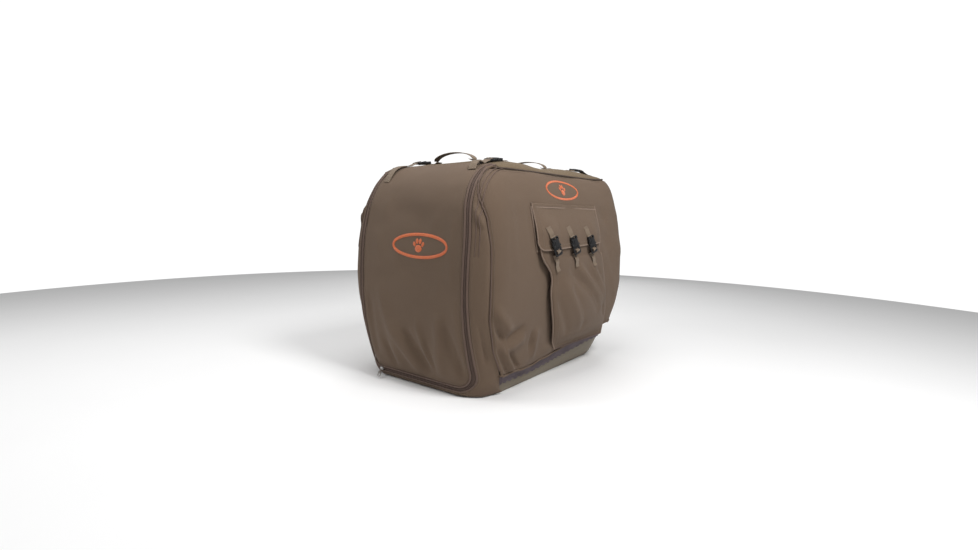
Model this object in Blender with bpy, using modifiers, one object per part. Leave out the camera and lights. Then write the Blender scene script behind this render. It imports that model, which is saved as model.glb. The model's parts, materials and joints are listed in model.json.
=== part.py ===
"""Fitted fabric kennel cover standing on the moulded crate that it covers.

Metres, +Z up. The door faces -Y, the gear pocket faces +X, and the crate stands on Z = 0.
"""
import math

import bmesh
import bpy
import numpy as np
from mathutils import Matrix, Vector

# ---------------------------------------------------------------- driving dimensions
GAP = 0.0003                 # play between pieces that touch
FABRIC = 0.0028              # coated polyester with its backing
WEBBING = 0.0016
STRAP_WIDTH = 0.025          # 1 in webbing
CRATE_WALL = 0.0035

# Cover outline: height, half width, front reach, rear reach, corner radius
COVER = (
    (0.000, 0.2620, 0.426, 0.400, 0.105),
    (0.030, 0.2665, 0.432, 0.408, 0.106),
    (0.070, 0.2770, 0.441, 0.424, 0.110),
    (0.140, 0.2920, 0.455, 0.446, 0.115),
    (0.240, 0.3110, 0.466, 0.465, 0.110),
    (0.320, 0.3175, 0.470, 0.470, 0.105),
    (0.420, 0.3160, 0.468, 0.469, 0.105),
    (0.500, 0.3080, 0.462, 0.464, 0.105),
    (0.580, 0.2960, 0.450, 0.454, 0.105),
    (0.640, 0.2780, 0.426, 0.446, 0.105),
    (0.680, 0.2580, 0.392, 0.436, 0.105),
    (0.705, 0.2350, 0.355, 0.420, 0.100),
    (0.725, 0.1950, 0.300, 0.385, 0.095),
    (0.735, 0.1400, 0.230, 0.330, 0.090),
    (0.738, 0.0600, 0.100, 0.150, 0.050),
)
# Crate outline, same columns
CRATE = (
    (0.000, 0.2500, 0.416, 0.392, 0.100),
    (0.010, 0.2555, 0.422, 0.398, 0.103),
    (0.030, 0.2585, 0.425, 0.402, 0.104),
    (0.060, 0.2625, 0.428, 0.406, 0.106),
    (0.334, 0.2980, 0.450, 0.450, 0.100),
    (0.600, 0.2680, 0.420, 0.428, 0.100),
    (0.665, 0.2460, 0.385, 0.405, 0.100),
    (0.695, 0.2100, 0.330, 0.370, 0.095),
    (0.706, 0.1500, 0.250, 0.300, 0.090),
)
BASE_TAPER = 0.14            # how much narrower the foot of the crate is at its rear
TAPER_FRONT, TAPER_REAR, TAPER_HIGH = -0.34, 0.36, 0.14
FLANGE_LOW, FLANGE_HIGH, FLANGE_OUT = 0.336, 0.348, 0.0085
CLIP_Y, CLIP_LONG = 0.24, 0.020
AIR_SLOT_Y, AIR_SLOT_Z, AIR_SLOT_LONG, AIR_SLOT_HIGH = (-0.20, -0.07, 0.06, 0.19), (0.42, 0.50), 0.070, 0.028

SEAM_TURN = 1.62             # front seam, on the corner: 1 = corner starts, 2 = corner ends
REAR_TURN = 3.5
ROOF_SEAM = 0.703
SEAM_HEIGHTS = [row[0] for row in COVER if 0.0 < row[0] < ROOF_SEAM] + [ROOF_SEAM]
GUSSET_LOW = 0.004
SIDE_HEM = 0.066
SIDE_HEM_RISE = 0.075        # the side panels' lower edge climbs towards the rear
RISE_FRONT, RISE_REAR = -0.15, 0.30
HEM_LOW, HEM_HIGH, HEM_OUT = 0.036, 0.062, 0.0046

DOOR_HALF, DOOR_HALF_TOP = 0.228, 0.190
DOOR_CORNER = 0.050
DOOR_SILL = 0.030
DOOR_BEND = 0.600            # height where the door panel starts over the roof edge
DOOR_HINGE = math.radians(81.5)
HINGE_Y = -0.300
ZIP_GAP = 0.011

CRATE_DOOR_HALF, CRATE_DOOR_LOW, CRATE_DOOR_HIGH = 0.178, 0.112, 0.568
CRATE_DOOR_Y = -0.421
WIRE = 0.0026

POCKET_TOP, POCKET_LOW = 0.478, 0.118
FLAP_TOP, FLAP_LOW = 0.600, 0.457
FLAP_Y = (-0.226, 0.192)
POCKET_BELLY, POCKET_NECK = 0.037, 0.019
POCKET_LEAN = 0.105          # how far the pocket's foot hangs towards the rear
BUCKLE_Y = (-0.163, -0.043, 0.077)
BUCKLE_LEAN = math.radians(17.0)
BUCKLE_WIDTH, SOCKET, PLUG = 0.037, 0.034, 0.028

HANDLE_SPAN, HANDLE_RISE, HANDLE_WIDTH = 0.176, 0.030, 0.026
HANDLE_FOOT = 0.0075         # the grip's ends over the roof, clear of their sewn patches
HANDLE_Y = {"front": -0.258, "rear": 0.170}
ROLL_X = 0.160
ROLL_Y = {"front": -0.255, "rear": 0.285}

FRONT_BADGE, SIDE_BADGE = (0.258, 0.080), (0.214, 0.068)
SLIDER_X = -0.168
PULL_AHEAD, PULL_DROP = (0.619, -0.785), 0.42
VENT_HALF, VENT_LOW, VENT_HIGH = 0.150, 0.230, 0.560


# ---------------------------------------------------------------- scene and helpers
for old in list(bpy.data.objects):
    bpy.data.objects.remove(old)


def collection(name):
    made = bpy.data.collections.new(name)
    bpy.context.scene.collection.children.link(made)
    return made


PARTS = collection("kennel_cover")
CUTTERS = collection("cutters")
MIDDLE = Vector((0.0, 0.0, 0.33))


def material(name, colour, roughness, metallic=0.0):
    made = bpy.data.materials.new(name)
    made.use_nodes = True
    shader = made.node_tree.nodes["Principled BSDF"]
    shader.inputs["Base Color"].default_value = (*colour, 1.0)
    shader.inputs["Roughness"].default_value = roughness
    shader.inputs["Metallic"].default_value = metallic
    return made


CANVAS = material("brown_polyester", (0.135, 0.100, 0.070), 0.85)
WEB = material("tan_webbing", (0.230, 0.170, 0.110), 0.80)
TAPE = material("zip_tape", (0.110, 0.070, 0.055), 0.75)
ELASTIC = material("grey_elastic", (0.150, 0.125, 0.135), 0.85)
SHELL = material("crate_shell", (0.160, 0.130, 0.085), 0.45)
BLACK = material("black_acetal", (0.012, 0.012, 0.012), 0.35)
NICKEL = material("nickel", (0.600, 0.600, 0.600), 0.30, 1.0)
ORANGE = material("orange_thread", (0.800, 0.180, 0.040), 0.60)
MESH_BLACK = material("mesh_black", (0.020, 0.020, 0.020), 0.80)


def link(name, data, look, home=PARTS):
    made = bpy.data.objects.new(name, data)
    made.data.materials.append(look)
    home.objects.link(made)
    return made


def smooth(obj, angle=35.0):
    obj.data.shade_smooth()
    obj.data.set_sharp_from_angle(angle=math.radians(angle))


def loft(name, rows, closed=False):
    """An open surface through rows of points. Closed rows join their two ends."""
    mesh = bpy.data.meshes.new(name)
    count = len(rows[0])
    corners = [tuple(point) for row in rows for point in row]
    faces = []
    for low in range(len(rows) - 1):
        for col in range(count if closed else count - 1):
            after = (col + 1) % count
            faces.append((low * count + col, low * count + after,
                          (low + 1) * count + after, (low + 1) * count + col))
    mesh.from_pydata(corners, [], faces)
    return mesh


def thicken(name, mesh, thickness, look, offset=-1.0):
    made = link(name, mesh, look)
    skin = made.modifiers.new("Thickness", "SOLIDIFY")
    skin.thickness = thickness
    skin.offset = offset
    smooth(made)
    return made


def sheet(name, rows, thickness, look, offset=-1.0):
    """A lofted sheet with thickness. Its rows run up or back, its columns run across."""
    mesh = loft(name, rows)
    middle = mesh.polygons[len(mesh.polygons) // 2]
    if middle.normal.dot(middle.center - MIDDLE) < 0.0:
        mesh.flip_normals()
    return thicken(name, mesh, thickness, look, offset)


def plate(name, outline, thickness, place, look):
    """A flat outline, extruded evenly to both sides of its plane."""
    curve = bpy.data.curves.new(name, "CURVE")
    curve.dimensions = "2D"
    curve.fill_mode = "BOTH"
    curve.extrude = thickness / 2
    line = curve.splines.new("POLY")
    line.points.add(len(outline) - 1)
    line.use_cyclic_u = True
    for point, (across, along) in zip(line.points, outline):
        point.co = (across, along, 0.0, 1.0)
    made = link(name, curve, look)
    made.matrix_world = place
    return made


def to_mesh(obj):
    """Turn a curve object into a welded mesh object of the same name and place."""
    bpy.context.view_layer.update()
    seen = obj.evaluated_get(bpy.context.evaluated_depsgraph_get())
    mesh = bpy.data.meshes.new_from_object(seen)
    welded = bmesh.new()
    welded.from_mesh(mesh)
    bmesh.ops.remove_doubles(welded, verts=welded.verts, dist=0.00001)
    welded.to_mesh(mesh)
    welded.free()
    name, home, place = obj.name, obj.users_collection[0], obj.matrix_world.copy()
    bpy.data.objects.remove(obj)
    made = bpy.data.objects.new(name, mesh)
    home.objects.link(made)
    made.matrix_world = place
    return made


def boxes(name, spans):
    """A cutter of axis-aligned boxes, each given by its low and high corners."""
    mesh = bpy.data.meshes.new(name)
    work = bmesh.new()
    for low, high in spans:
        low, high = Vector(low), Vector(high)
        size = Matrix.Diagonal((*(high - low), 1.0))
        bmesh.ops.create_cube(work, size=1.0, matrix=Matrix.Translation((low + high) / 2) @ size)
    work.to_mesh(mesh)
    work.free()
    return link(name, mesh, BLACK, CUTTERS)


def boolean(obj, tool, operation="DIFFERENCE"):
    cut = obj.modifiers.new(tool.name, "BOOLEAN")
    cut.operation = operation
    cut.object = tool
    tool.hide_render = True
    tool.display_type = "WIRE"
    return obj


def frame_at(origin, along, outward):
    """Local X across, local Y along, local Z outward."""
    along = Vector(along).normalized()
    outward = Vector(outward)
    outward = (outward - along * outward.dot(along)).normalized()
    across = along.cross(outward)
    turn = Matrix((across, along, outward)).transposed().to_4x4()
    return Matrix.Translation(origin) @ turn


def rectangle(half, low, high):
    return [(-half, low), (half, low), (half, high), (-half, high)]


# ---------------------------------------------------------------- outlines
def section(table, height):
    heights = [row[0] for row in table]
    return [float(np.interp(height, heights, [row[k] for row in table])) for k in range(1, 5)]


def taper(y, height):
    """The foot narrows towards the rear, and less so with height."""
    back = min(max((y - TAPER_FRONT) / (TAPER_REAR - TAPER_FRONT), 0.0), 1.0)
    low = 1.0 - min(max(height / TAPER_HIGH, 0.0), 1.0)
    return 1.0 - BASE_TAPER * back * low ** 2


def ring_point(table, height, turn, out=0.0):
    """A point of the outline. Turn 0 to 8 runs from the front left, round by +X."""
    point = straight_point(table, height, turn, out)
    point.x *= taper(point.y, height)
    return point


def straight_point(table, height, turn, out):
    half, front, rear, radius = section(table, height)
    leg, part = int(turn % 8.0), (turn % 8.0) % 1.0
    in_x, front_y, rear_y = half - radius, -front + radius, rear - radius
    wide = radius + out
    if leg == 0:
        return Vector((-in_x + 2 * in_x * part, front_y - wide, height))
    if leg == 2:
        return Vector((in_x + wide, front_y + (rear_y - front_y) * part, height))
    if leg == 4:
        return Vector((in_x - 2 * in_x * part, rear_y + wide, height))
    if leg == 6:
        return Vector((-in_x - wide, rear_y - (rear_y - front_y) * part, height))
    centre = {1: (in_x, front_y), 3: (in_x, rear_y), 5: (-in_x, rear_y), 7: (-in_x, front_y)}[leg]
    angle = math.pi / 2 * (part + (leg - 3) / 2)
    return Vector((centre[0] + wide * math.cos(angle), centre[1] + wide * math.sin(angle), height))


def inside(table, point):
    top = table[-1][0]
    if point.z > top or point.z < table[0][0] - 0.001:
        return False
    half, front, rear, radius = section(table, point.z)
    reach = front if point.y < 0 else rear
    past_x = max(abs(point.x) / taper(point.y, point.z) - (half - radius), 0.0)
    past_y = max(abs(point.y) - (reach - radius), 0.0)
    return math.hypot(past_x, past_y) <= radius


def shoot(origin, direction, out=0.0):
    """Where a ray from inside the cover leaves its outer surface, moved on by out."""
    origin, direction = Vector(origin), Vector(direction).normalized()
    near, far = 0.0, 0.9
    for _ in range(40):
        middle = (near + far) / 2
        if inside(COVER, origin + direction * middle):
            near = middle
        else:
            far = middle
    return origin + direction * (near + out)


def roof(x, y, out=0.0):
    return shoot((x, y, 0.5), (0, 0, 1), out)


def span(low, high, count):
    return [low + (high - low) * k / (count - 1) for k in range(count)]


# ---------------------------------------------------------------- crate
def crate_shell(name, heights):
    """A moulded half shell: a flat floor or roof, then walls that end in a flange."""
    turns = [leg + part for leg in range(8) for part in ((0.0, 0.5) if leg % 2 == 0
                                                         else (0.0, 0.25, 0.5, 0.75))]
    rows = [[ring_point(CRATE, height, turn) for turn in turns] for height in heights]
    rows.append([ring_point(CRATE, heights[-1], turn, FLANGE_OUT) for turn in turns])
    mesh = loft(name, rows, closed=True)
    work = bmesh.new()
    work.from_mesh(mesh)
    work.verts.ensure_lookup_table()
    work.faces.new([work.verts[k] for k in range(len(turns))])
    bmesh.ops.recalc_face_normals(work, faces=work.faces)
    work.faces.ensure_lookup_table()
    side = work.faces[0]
    if side.normal.dot(side.calc_center_median() - MIDDLE) < 0.0:
        bmesh.ops.reverse_faces(work, faces=work.faces)
    work.to_mesh(mesh)
    work.free()
    return thicken(name, mesh, CRATE_WALL, SHELL)


def crate():
    low = crate_shell("crate_base", (0.0, 0.010, 0.030, 0.060, 0.100, 0.180, FLANGE_LOW))
    high = crate_shell("crate_top", (0.706, 0.695, 0.665, 0.600, 0.470, FLANGE_HIGH))
    edge = CRATE_DOOR_HALF + 0.008
    doorway = boxes("doorway_cut", [((-edge, -0.60, CRATE_DOOR_LOW - 0.008),
                                     (edge, -0.34, CRATE_DOOR_HIGH + 0.008))])
    slots = [((-0.4, y - AIR_SLOT_LONG / 2, z), (0.4, y + AIR_SLOT_LONG / 2, z + AIR_SLOT_HIGH))
             for y in AIR_SLOT_Y for z in AIR_SLOT_Z]
    vents = boxes("vent_cut", slots)
    boolean(low, doorway)
    boolean(high, doorway)
    boolean(high, vents)
    x = section(CRATE, FLANGE_LOW)[0] + FLANGE_OUT
    for number, (side, end) in enumerate(((-1, -1), (-1, 1), (1, -1), (1, 1)), 1):
        crate_clip(f"crate_clip_{number}", (side * x, end * CLIP_Y))


def crate_clip(name, place):
    """A clamp clip: a C that closes over both flanges from outside."""
    grip, thick, back = 0.0050, 0.0022, 0.0030
    low, high = FLANGE_LOW - CRATE_WALL - 0.001, FLANGE_HIGH + CRATE_WALL + 0.001
    side = 1 if place[0] > 0 else -1
    outline = [(-grip, low - thick), (back, low - thick), (back, high + thick),
               (-grip, high + thick), (-grip, high), (back - thick, high),
               (back - thick, low), (-grip, low)]
    turned = [(side * across, along) for across, along in outline]
    upright = Matrix.Translation((place[0], place[1], 0.0)) @ Matrix.Rotation(math.pi / 2, 4, "X")
    plate(name, turned, CLIP_LONG, upright, BLACK)


def wire(name, points, radius, cyclic=False):
    curve = bpy.data.curves.new(name, "CURVE")
    curve.dimensions = "3D"
    curve.bevel_depth = radius
    curve.bevel_resolution = 1
    curve.use_fill_caps = True
    line = curve.splines.new("POLY")
    line.points.add(len(points) - 1)
    line.use_cyclic_u = cyclic
    for point, place in zip(line.points, points):
        point.co = (*place, 1.0)
    return link(name, curve, NICKEL)


def crate_door():
    half, low, high, y = CRATE_DOOR_HALF, CRATE_DOOR_LOW, CRATE_DOOR_HIGH, CRATE_DOOR_Y
    edge = [(-half, y, low), (half, y, low), (half, y, high), (-half, y, high)]
    frame = to_mesh(wire("crate_door", edge, WIRE, cyclic=True))
    for number, x in enumerate(span(-half, half, 9)[1:-1]):
        bar = to_mesh(wire(f"bar_cut_{number}", [(x, y, low), (x, y, high)], WIRE * 0.8))
        PARTS.objects.unlink(bar)
        CUTTERS.objects.link(bar)
        boolean(frame, bar, "UNION")
    for number, z in enumerate(span(low, high, 5)[1:-1]):
        rail = to_mesh(wire(f"rail_cut_{number}", [(-half, y, z), (half, y, z)], WIRE * 0.8))
        PARTS.objects.unlink(rail)
        CUTTERS.objects.link(rail)
        boolean(frame, rail, "UNION")
    place = Matrix.Translation((half - 0.022, y - 0.0085, (low + high) / 2))
    knob = [(0.006 * math.cos(a), 0.006 * math.sin(a))
            for a in span(math.radians(130), math.radians(410), 12)]
    arm = [(0.004, 0.034), (-0.004, 0.034)]
    plate("crate_latch", knob + arm, 0.006, place @ Matrix.Rotation(math.pi / 2, 4, "X"), BLACK)


# ---------------------------------------------------------------- cover panels
def door_half(level):
    """Half width of the door panel. Level is the height, or past the bend, 0.6 to 0.8."""
    t = min(max((level - 0.45) / 0.35, 0.0), 1.0)
    return DOOR_HALF + (DOOR_HALF_TOP - DOOR_HALF) * t * t * (3 - 2 * t)


def door_stations():
    """Half of the door's outline: sill, rounded corner, side, and over the roof edge."""
    sill = [("sill", x) for x in (0.0, 0.06, 0.12)]
    corner = [("corner", math.radians(a)) for a in (-90, -67.5, -45, -22.5)]
    side = [("side", z) for z in span(DOOR_SILL + DOOR_CORNER, DOOR_BEND, 8)]
    bend = [("bend", DOOR_HINGE * k / 6) for k in range(1, 7)]
    return sill, corner, side, bend


def door_point(kind, value, x=None, away=0.0, out=0.0):
    """A point of the door's outline moved away from the door, or of its row at a given x."""
    inner = DOOR_HALF - DOOR_CORNER
    base, tilt = 0.0, 0.0
    if kind == "sill":
        edge, base = value, DOOR_SILL - away
    elif kind == "corner":
        reach = DOOR_CORNER + away
        edge = inner + reach * math.cos(value)
        base = DOOR_SILL + DOOR_CORNER + reach * math.sin(value)
    elif kind == "side":
        edge, base = door_half(value) + away, value
    else:
        edge = door_half(DOOR_BEND + 0.2 * value / DOOR_HINGE) + away
        base, tilt = DOOR_BEND, value
    start = (edge if x is None else x * edge, -0.28, base)
    return shoot(start, (0.0, -math.cos(tilt), math.sin(tilt)), out)


def mirrored(point):
    return Vector((-point.x, point.y, point.z))


def door_panel():
    _, corner, side, bend = door_stations()
    rows = [[door_point(kind, value, x) for x in span(-1.0, 1.0, 15)]
            for kind, value in corner + side + bend]
    return sheet("door_panel", rows, FABRIC, CANVAS)


def zip_half(name, near, far):
    """One half of the zipper: a strip all the way round the door's open edge."""
    sill, corner, side, bend = door_stations()
    half = sill + corner + side + bend
    run = []
    for kind, value in half:
        run.append([door_point(kind, value, None, near), door_point(kind, value, None, far)])
    left = [[mirrored(point) for point in pair] for pair in run[:0:-1]]
    return sheet(name, left + run, FABRIC + 0.0006, TAPE)


def front_sill():
    inner = DOOR_HALF - DOOR_CORNER - 0.0012
    high = DOOR_SILL - ZIP_GAP - GAP
    rows = [[shoot((x, -0.28, z), (0, -1, 0)) for x in span(-inner, inner, 11)]
            for z in (GUSSET_LOW, high)]
    return sheet("front_sill", rows, FABRIC, CANVAS)


def seam_path():
    """Outer edge of a corner gusset: along the hem, up the seam, then beside the roof."""
    start = DOOR_HALF - DOOR_CORNER
    hem = [shoot((start + past, -0.28, GUSSET_LOW), (0, -1, 0)) for past in (0.001, 0.026, 0.051)]
    heights = [GUSSET_LOW] + [z for z in SEAM_HEIGHTS if z > GUSSET_LOW]
    rise = [ring_point(COVER, z, SEAM_TURN) for z in heights]
    _, front, _, radius = section(COVER, ROOF_SEAM)
    past = (-HINGE_Y - 0.003 - front + radius) / radius
    last = 1.0 + math.acos(min(past, 1.0)) / (math.pi / 2)
    crown = [ring_point(COVER, ROOF_SEAM, turn) for turn in span(SEAM_TURN, last, 4)[1:]]
    return hem + rise + crown


def gusset(name, side):
    """The strip between the zipper and a front corner seam, in one cut piece."""
    _, corner, flank, bend = door_stations()
    inner = [door_point(kind, value, None, ZIP_GAP + GAP) for kind, value in corner + flank + bend]
    outer = seam_path()
    rows = []
    for near, far in zip(inner, outer):
        row = [near]
        for k in (1, 2):
            guess = near.lerp(far, k / 3)
            base = Vector((0.12, -0.24, min(guess.z, DOOR_BEND)))
            row.append(shoot(base, guess - base))
        row.append(far)
        rows.append(row if side > 0 else [mirrored(point) for point in row])
    return sheet(name, rows, FABRIC, CANVAS)


def lower_edge(turn):
    """Height of the side and back panels' lower edge."""
    y = ring_point(COVER, SIDE_HEM, turn).y
    return SIDE_HEM + SIDE_HEM_RISE * min(max((y - RISE_FRONT) / (RISE_REAR - RISE_FRONT), 0.0), 1.0)


def wall_panel(name, first, last, columns, apart=0.016):
    """A side or back panel between two seams. Apart keeps it off its neighbours."""
    turns = span(first + apart, last - apart, columns)
    rows = []
    rows.append([ring_point(COVER, lower_edge(turn), turn) for turn in turns])
    for height in SEAM_HEIGHTS:
        if height > SIDE_HEM + SIDE_HEM_RISE:
            rows.append([ring_point(COVER, min(height, ROOF_SEAM - 0.0008), turn) for turn in turns])
    return sheet(name, rows, FABRIC, CANVAS)


def roof_panel():
    """The crowned roof from the door's hinge line to the rear seam."""
    half, front, rear, radius = section(COVER, ROOF_SEAM + 0.0012)
    front_edge = HINGE_Y + 0.0055
    rows = []
    for k in range(12):
        y = front_edge + (rear - 0.0005 - front_edge) * (1 - (1 - k / 11) ** 1.35)
        past = max(-y - (front - radius), y - (rear - radius), 0.0)
        edge = half - radius + math.sqrt(max(radius ** 2 - past ** 2, 0.0)) - 0.0006
        rows.append([roof(edge * x, y) for x in (-1, -0.93, -0.82, -0.6, -0.3, 0, 0.3, 0.6, 0.82, 0.93, 1)])
    return sheet("roof_panel", rows, FABRIC, CANVAS)


def hem_band():
    """The elastic hem that grips the crate below the side and back panels."""
    turns = span(SEAM_TURN + 0.20, 9.0 - SEAM_TURN - 0.20, 49)
    rows = []
    for k in range(3):
        row = []
        for turn in turns:
            rise = 0.6 * (lower_edge(turn) - SIDE_HEM)
            z = HEM_LOW + rise + (HEM_HIGH - HEM_LOW) * k / 2
            row.append(ring_point(CRATE, z, turn, HEM_OUT))
        rows.append(row)
    return sheet("hem_elastic", rows, 0.0025, ELASTIC)


# ---------------------------------------------------------------- door furniture
def oval(long, high):
    return [(long / 2 * math.cos(a), high / 2 * math.sin(a)) for a in span(0, 2 * math.pi, 33)[:-1]]


def badges():
    height = 0.462
    spot = shoot((0.045, 0.0, height), (0, -1, 0), 0.0024)
    above = shoot((0.045, 0.0, height + 0.04), (0, -1, 0), 0.0024)
    below = shoot((0.045, 0.0, height - 0.04), (0, -1, 0), 0.0024)
    place = frame_at(spot, above - below, (0, -1, 0))
    plate("front_badge", oval(*FRONT_BADGE), 0.0016, place, ORANGE)
    height = 0.648
    spot = shoot((0.0, -0.010, height), (1, 0, 0), 0.0040)
    above = shoot((0.0, -0.010, height + 0.03), (1, 0, 0))
    below = shoot((0.0, -0.010, height - 0.03), (1, 0, 0))
    place = frame_at(spot, above - below, (1, 0, 0))
    plate("side_badge", oval(*SIDE_BADGE), 0.0016, place, ORANGE)


def slider_frame():
    """The slider's place on the sill zipper: local X along the zipper, Z outward."""
    height = DOOR_SILL - ZIP_GAP / 2
    spot = shoot((SLIDER_X, -0.28, height), (0, -1, 0))
    beside = shoot((SLIDER_X + 0.004, -0.28, height), (0, -1, 0))
    across = (beside - spot).normalized()
    outward = across.cross(Vector((0, 0, 1)))
    return spot, across, outward


def zipper_slider():
    spot, across, outward = slider_frame()
    place = frame_at(spot + outward * 0.0034, (0, 0, 1), outward)
    body = [(-0.006, -0.0045), (0.004, -0.0045), (0.007, -0.002), (0.007, 0.002),
            (0.004, 0.0045), (-0.006, 0.0045)]
    plate("zipper_slider", body, 0.0050, place, NICKEL)
    pivot = spot + outward * 0.0085
    drop = Vector((*PULL_AHEAD, -PULL_DROP))
    tab = [(-0.0030, 0.0), (0.0030, 0.0), (0.0045, 0.012), (0.0045, 0.038), (0.0025, 0.044),
           (-0.0025, 0.044), (-0.0045, 0.038), (-0.0045, 0.012)]
    upward = Vector((PULL_AHEAD[0] * PULL_DROP, PULL_AHEAD[1] * PULL_DROP, 1.0))
    plate("zipper_pull", tab, 0.0018, frame_at(pivot, drop, upward), NICKEL)


def handle(where):
    y = HANDLE_Y[where]
    base = roof(0.0, y).z
    half = HANDLE_SPAN / 2
    foot = base + HANDLE_FOOT
    rows = []
    for angle in span(0.0, math.pi, 17):
        x = -half * math.cos(angle) * (1.0 - 0.10 * math.sin(angle))
        lift = HANDLE_RISE * math.sin(angle) ** 0.8 if math.sin(angle) > 1e-6 else 0.0
        wide = min(HANDLE_WIDTH / 2, 0.004 + lift)
        rows.append([(x, y - wide, foot + lift), (x, y + wide, foot + lift)])
    sheet(f"{where}_handle", rows, WEBBING, WEB)
    for side, label in ((-1, "left"), (1, "right")):
        x = side * (half + 0.004)
        spot = roof(x, y, 0.0)
        corners = [roof(x + dx, y + dy) for dx, dy in ((-0.019, 0), (0.019, 0), (0, -0.016), (0, 0.016))]
        along = corners[1] - corners[0]
        outward = along.cross(corners[3] - corners[2])
        place = frame_at(spot + outward.normalized() * 0.0022, along, outward)
        plate(f"{where}_handle_patch_{label}", rectangle(0.0145, -0.017, 0.017), 0.0016, place, WEB)


# ---------------------------------------------------------------- buckles and straps
def socket(name, place):
    """The female half: a channel open behind and below. Local +Y points to its mouth."""
    half, thick, wall = BUCKLE_WIDTH / 2, 0.0080, 0.0018
    outline = [(-half, 0.0), (-half, thick), (half, thick), (half, 0.0), (half - wall, 0.0),
               (half - wall, thick - wall), (-half + wall, thick - wall), (-half + wall, 0.0)]
    turn = Matrix.Rotation(math.pi / 2, 4, "X")
    centre = Matrix.Translation((0.0, -SOCKET / 2, 0.0))
    return plate(name, outline, SOCKET, place @ centre @ turn, BLACK)


def plug(name, place):
    """The male half: a cross bar, two sprung prongs and a centre guide."""
    half = BUCKLE_WIDTH / 2 - 0.0018 - 0.0014
    wide = BUCKLE_WIDTH / 2
    outline = [(-wide, PLUG - 0.008), (-wide, 0.0012), (-half, 0.0012), (-half, -0.024),
               (-half + 0.005, -0.026), (-half + 0.005, -0.002), (-0.0025, -0.002),
               (-0.0025, -0.018), (0.0025, -0.018), (0.0025, -0.002), (half - 0.005, -0.002),
               (half - 0.005, -0.026), (half, -0.024), (half, 0.0012), (wide, 0.0012),
               (wide, PLUG - 0.008), (wide - 0.005, PLUG), (-wide + 0.005, PLUG)]
    lift = Matrix.Translation((0.0, 0.0, 0.0038))
    return plate(name, outline, 0.0042, place @ lift, BLACK)


def ribbon(name, points, outward):
    """A flat strap along a path, its back on the path, its width square to it."""
    rows = []
    for number, point in enumerate(points):
        before = Vector(points[max(number - 1, 0)])
        after = Vector(points[min(number + 1, len(points) - 1)])
        across = (after - before).cross(Vector(outward[number])).normalized() * STRAP_WIDTH / 2
        rows.append([Vector(point) - across, Vector(point) + across])
    return sheet(name, rows, WEBBING, WEB, offset=1.0)


def roll_strap(end, side, label):
    """A roll-up strap over the roof's edge, with its buckle lying on the roof."""
    x = side * ROLL_X
    y = ROLL_Y[end]
    ahead = -1 if end == "front" else 1
    centre = roof(x, y)
    rise = roof(x, y + ahead * 0.03) - roof(x, y - ahead * 0.03)
    beside = roof(x + 0.01, y) - roof(x - 0.01, y)
    outward = rise.cross(beside)
    outward = outward if outward.z > 0 else -outward
    place = frame_at(centre + outward.normalized() * 0.0040, rise, outward)
    socket(f"{end}_roll_socket_{label}", place)
    plug(f"{end}_roll_plug_{label}", place)
    if end == "front":
        stops = [(0.60, -0.28, math.radians(a)) for a in (74, 66, 57, 48, 38, 28, 20)]
        points = [shoot((x, back, low), (0, -math.cos(a), math.sin(a)), 0.0038)
                  for low, back, a in stops]
        normals = [(0, -math.cos(a), math.sin(a)) for _, _, a in stops]
    else:
        stops = [math.radians(a) for a in (72, 62, 52, 42, 32, 22)]
        points = [shoot((x, 0.31, 0.60), (0, math.cos(a), math.sin(a)), 0.0038) for a in stops]
        normals = [(0, math.cos(a), math.sin(a)) for a in stops]
    ribbon(f"{end}_roll_strap_{label}", points, normals)


# ---------------------------------------------------------------- gear pocket
def wall_x(z):
    return section(COVER, z)[0]


def pocket_depth(z):
    """How far the gusseted pocket stands off the side panel: full in its belly, shut below."""
    t = min(max((z - POCKET_LOW) / (POCKET_TOP - POCKET_LOW), 0.0), 1.0)
    belly = math.sqrt(max(1 - (1 - min(t / 0.45, 1.0)) ** 2, 0.0))
    return 0.0035 + POCKET_BELLY * belly - POCKET_NECK * max((t - 0.45) / 0.55, 0.0)


def pocket_edges(z):
    slip = POCKET_LEAN * (POCKET_TOP - z) / (POCKET_TOP - POCKET_LOW)
    return -0.190 + slip, 0.190 + slip


def pocket():
    rows = []
    for k in range(12):
        z = POCKET_TOP - (POCKET_TOP - POCKET_LOW) * math.sin(math.pi / 2 * k / 11)
        near, far = pocket_edges(z)
        base, depth = wall_x(z) + 0.0006, pocket_depth(z)
        back = min(depth, 0.0035)
        side = [(near, 0.0), (near, back), (near + 0.002, depth * 0.6), (near + 0.006, depth)]
        front = [(near + (far - near) * part, depth + 0.002) for part in (0.2, 0.4, 0.6, 0.8)]
        other = [(far - 0.006, depth), (far - 0.002, depth * 0.6), (far, back), (far, 0.0)]
        rows.append([Vector((base + 0.003 + out, y, z)) for y, out in side + front + other])
    sheet("pocket_body", rows[::-1], FABRIC, CANVAS)


def flap_x(z):
    """Outer face of the pocket flap: sewn flat at the top, riding over the pocket's mouth."""
    mouth = wall_x(POCKET_TOP) + 0.0036 + pocket_depth(POCKET_TOP) + 0.002 + 0.0042
    low = wall_x(FLAP_LOW) + 0.0036 + pocket_depth(FLAP_LOW) + 0.002 + 0.0042
    top = wall_x(FLAP_TOP) + 0.0036
    if z <= POCKET_TOP:
        return low + (mouth - low) * (z - FLAP_LOW) / (POCKET_TOP - FLAP_LOW)
    t = (FLAP_TOP - z) / (FLAP_TOP - POCKET_TOP)
    return top + (mouth - top) * (t * t * (3 - 2 * t)) ** 0.75


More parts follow.
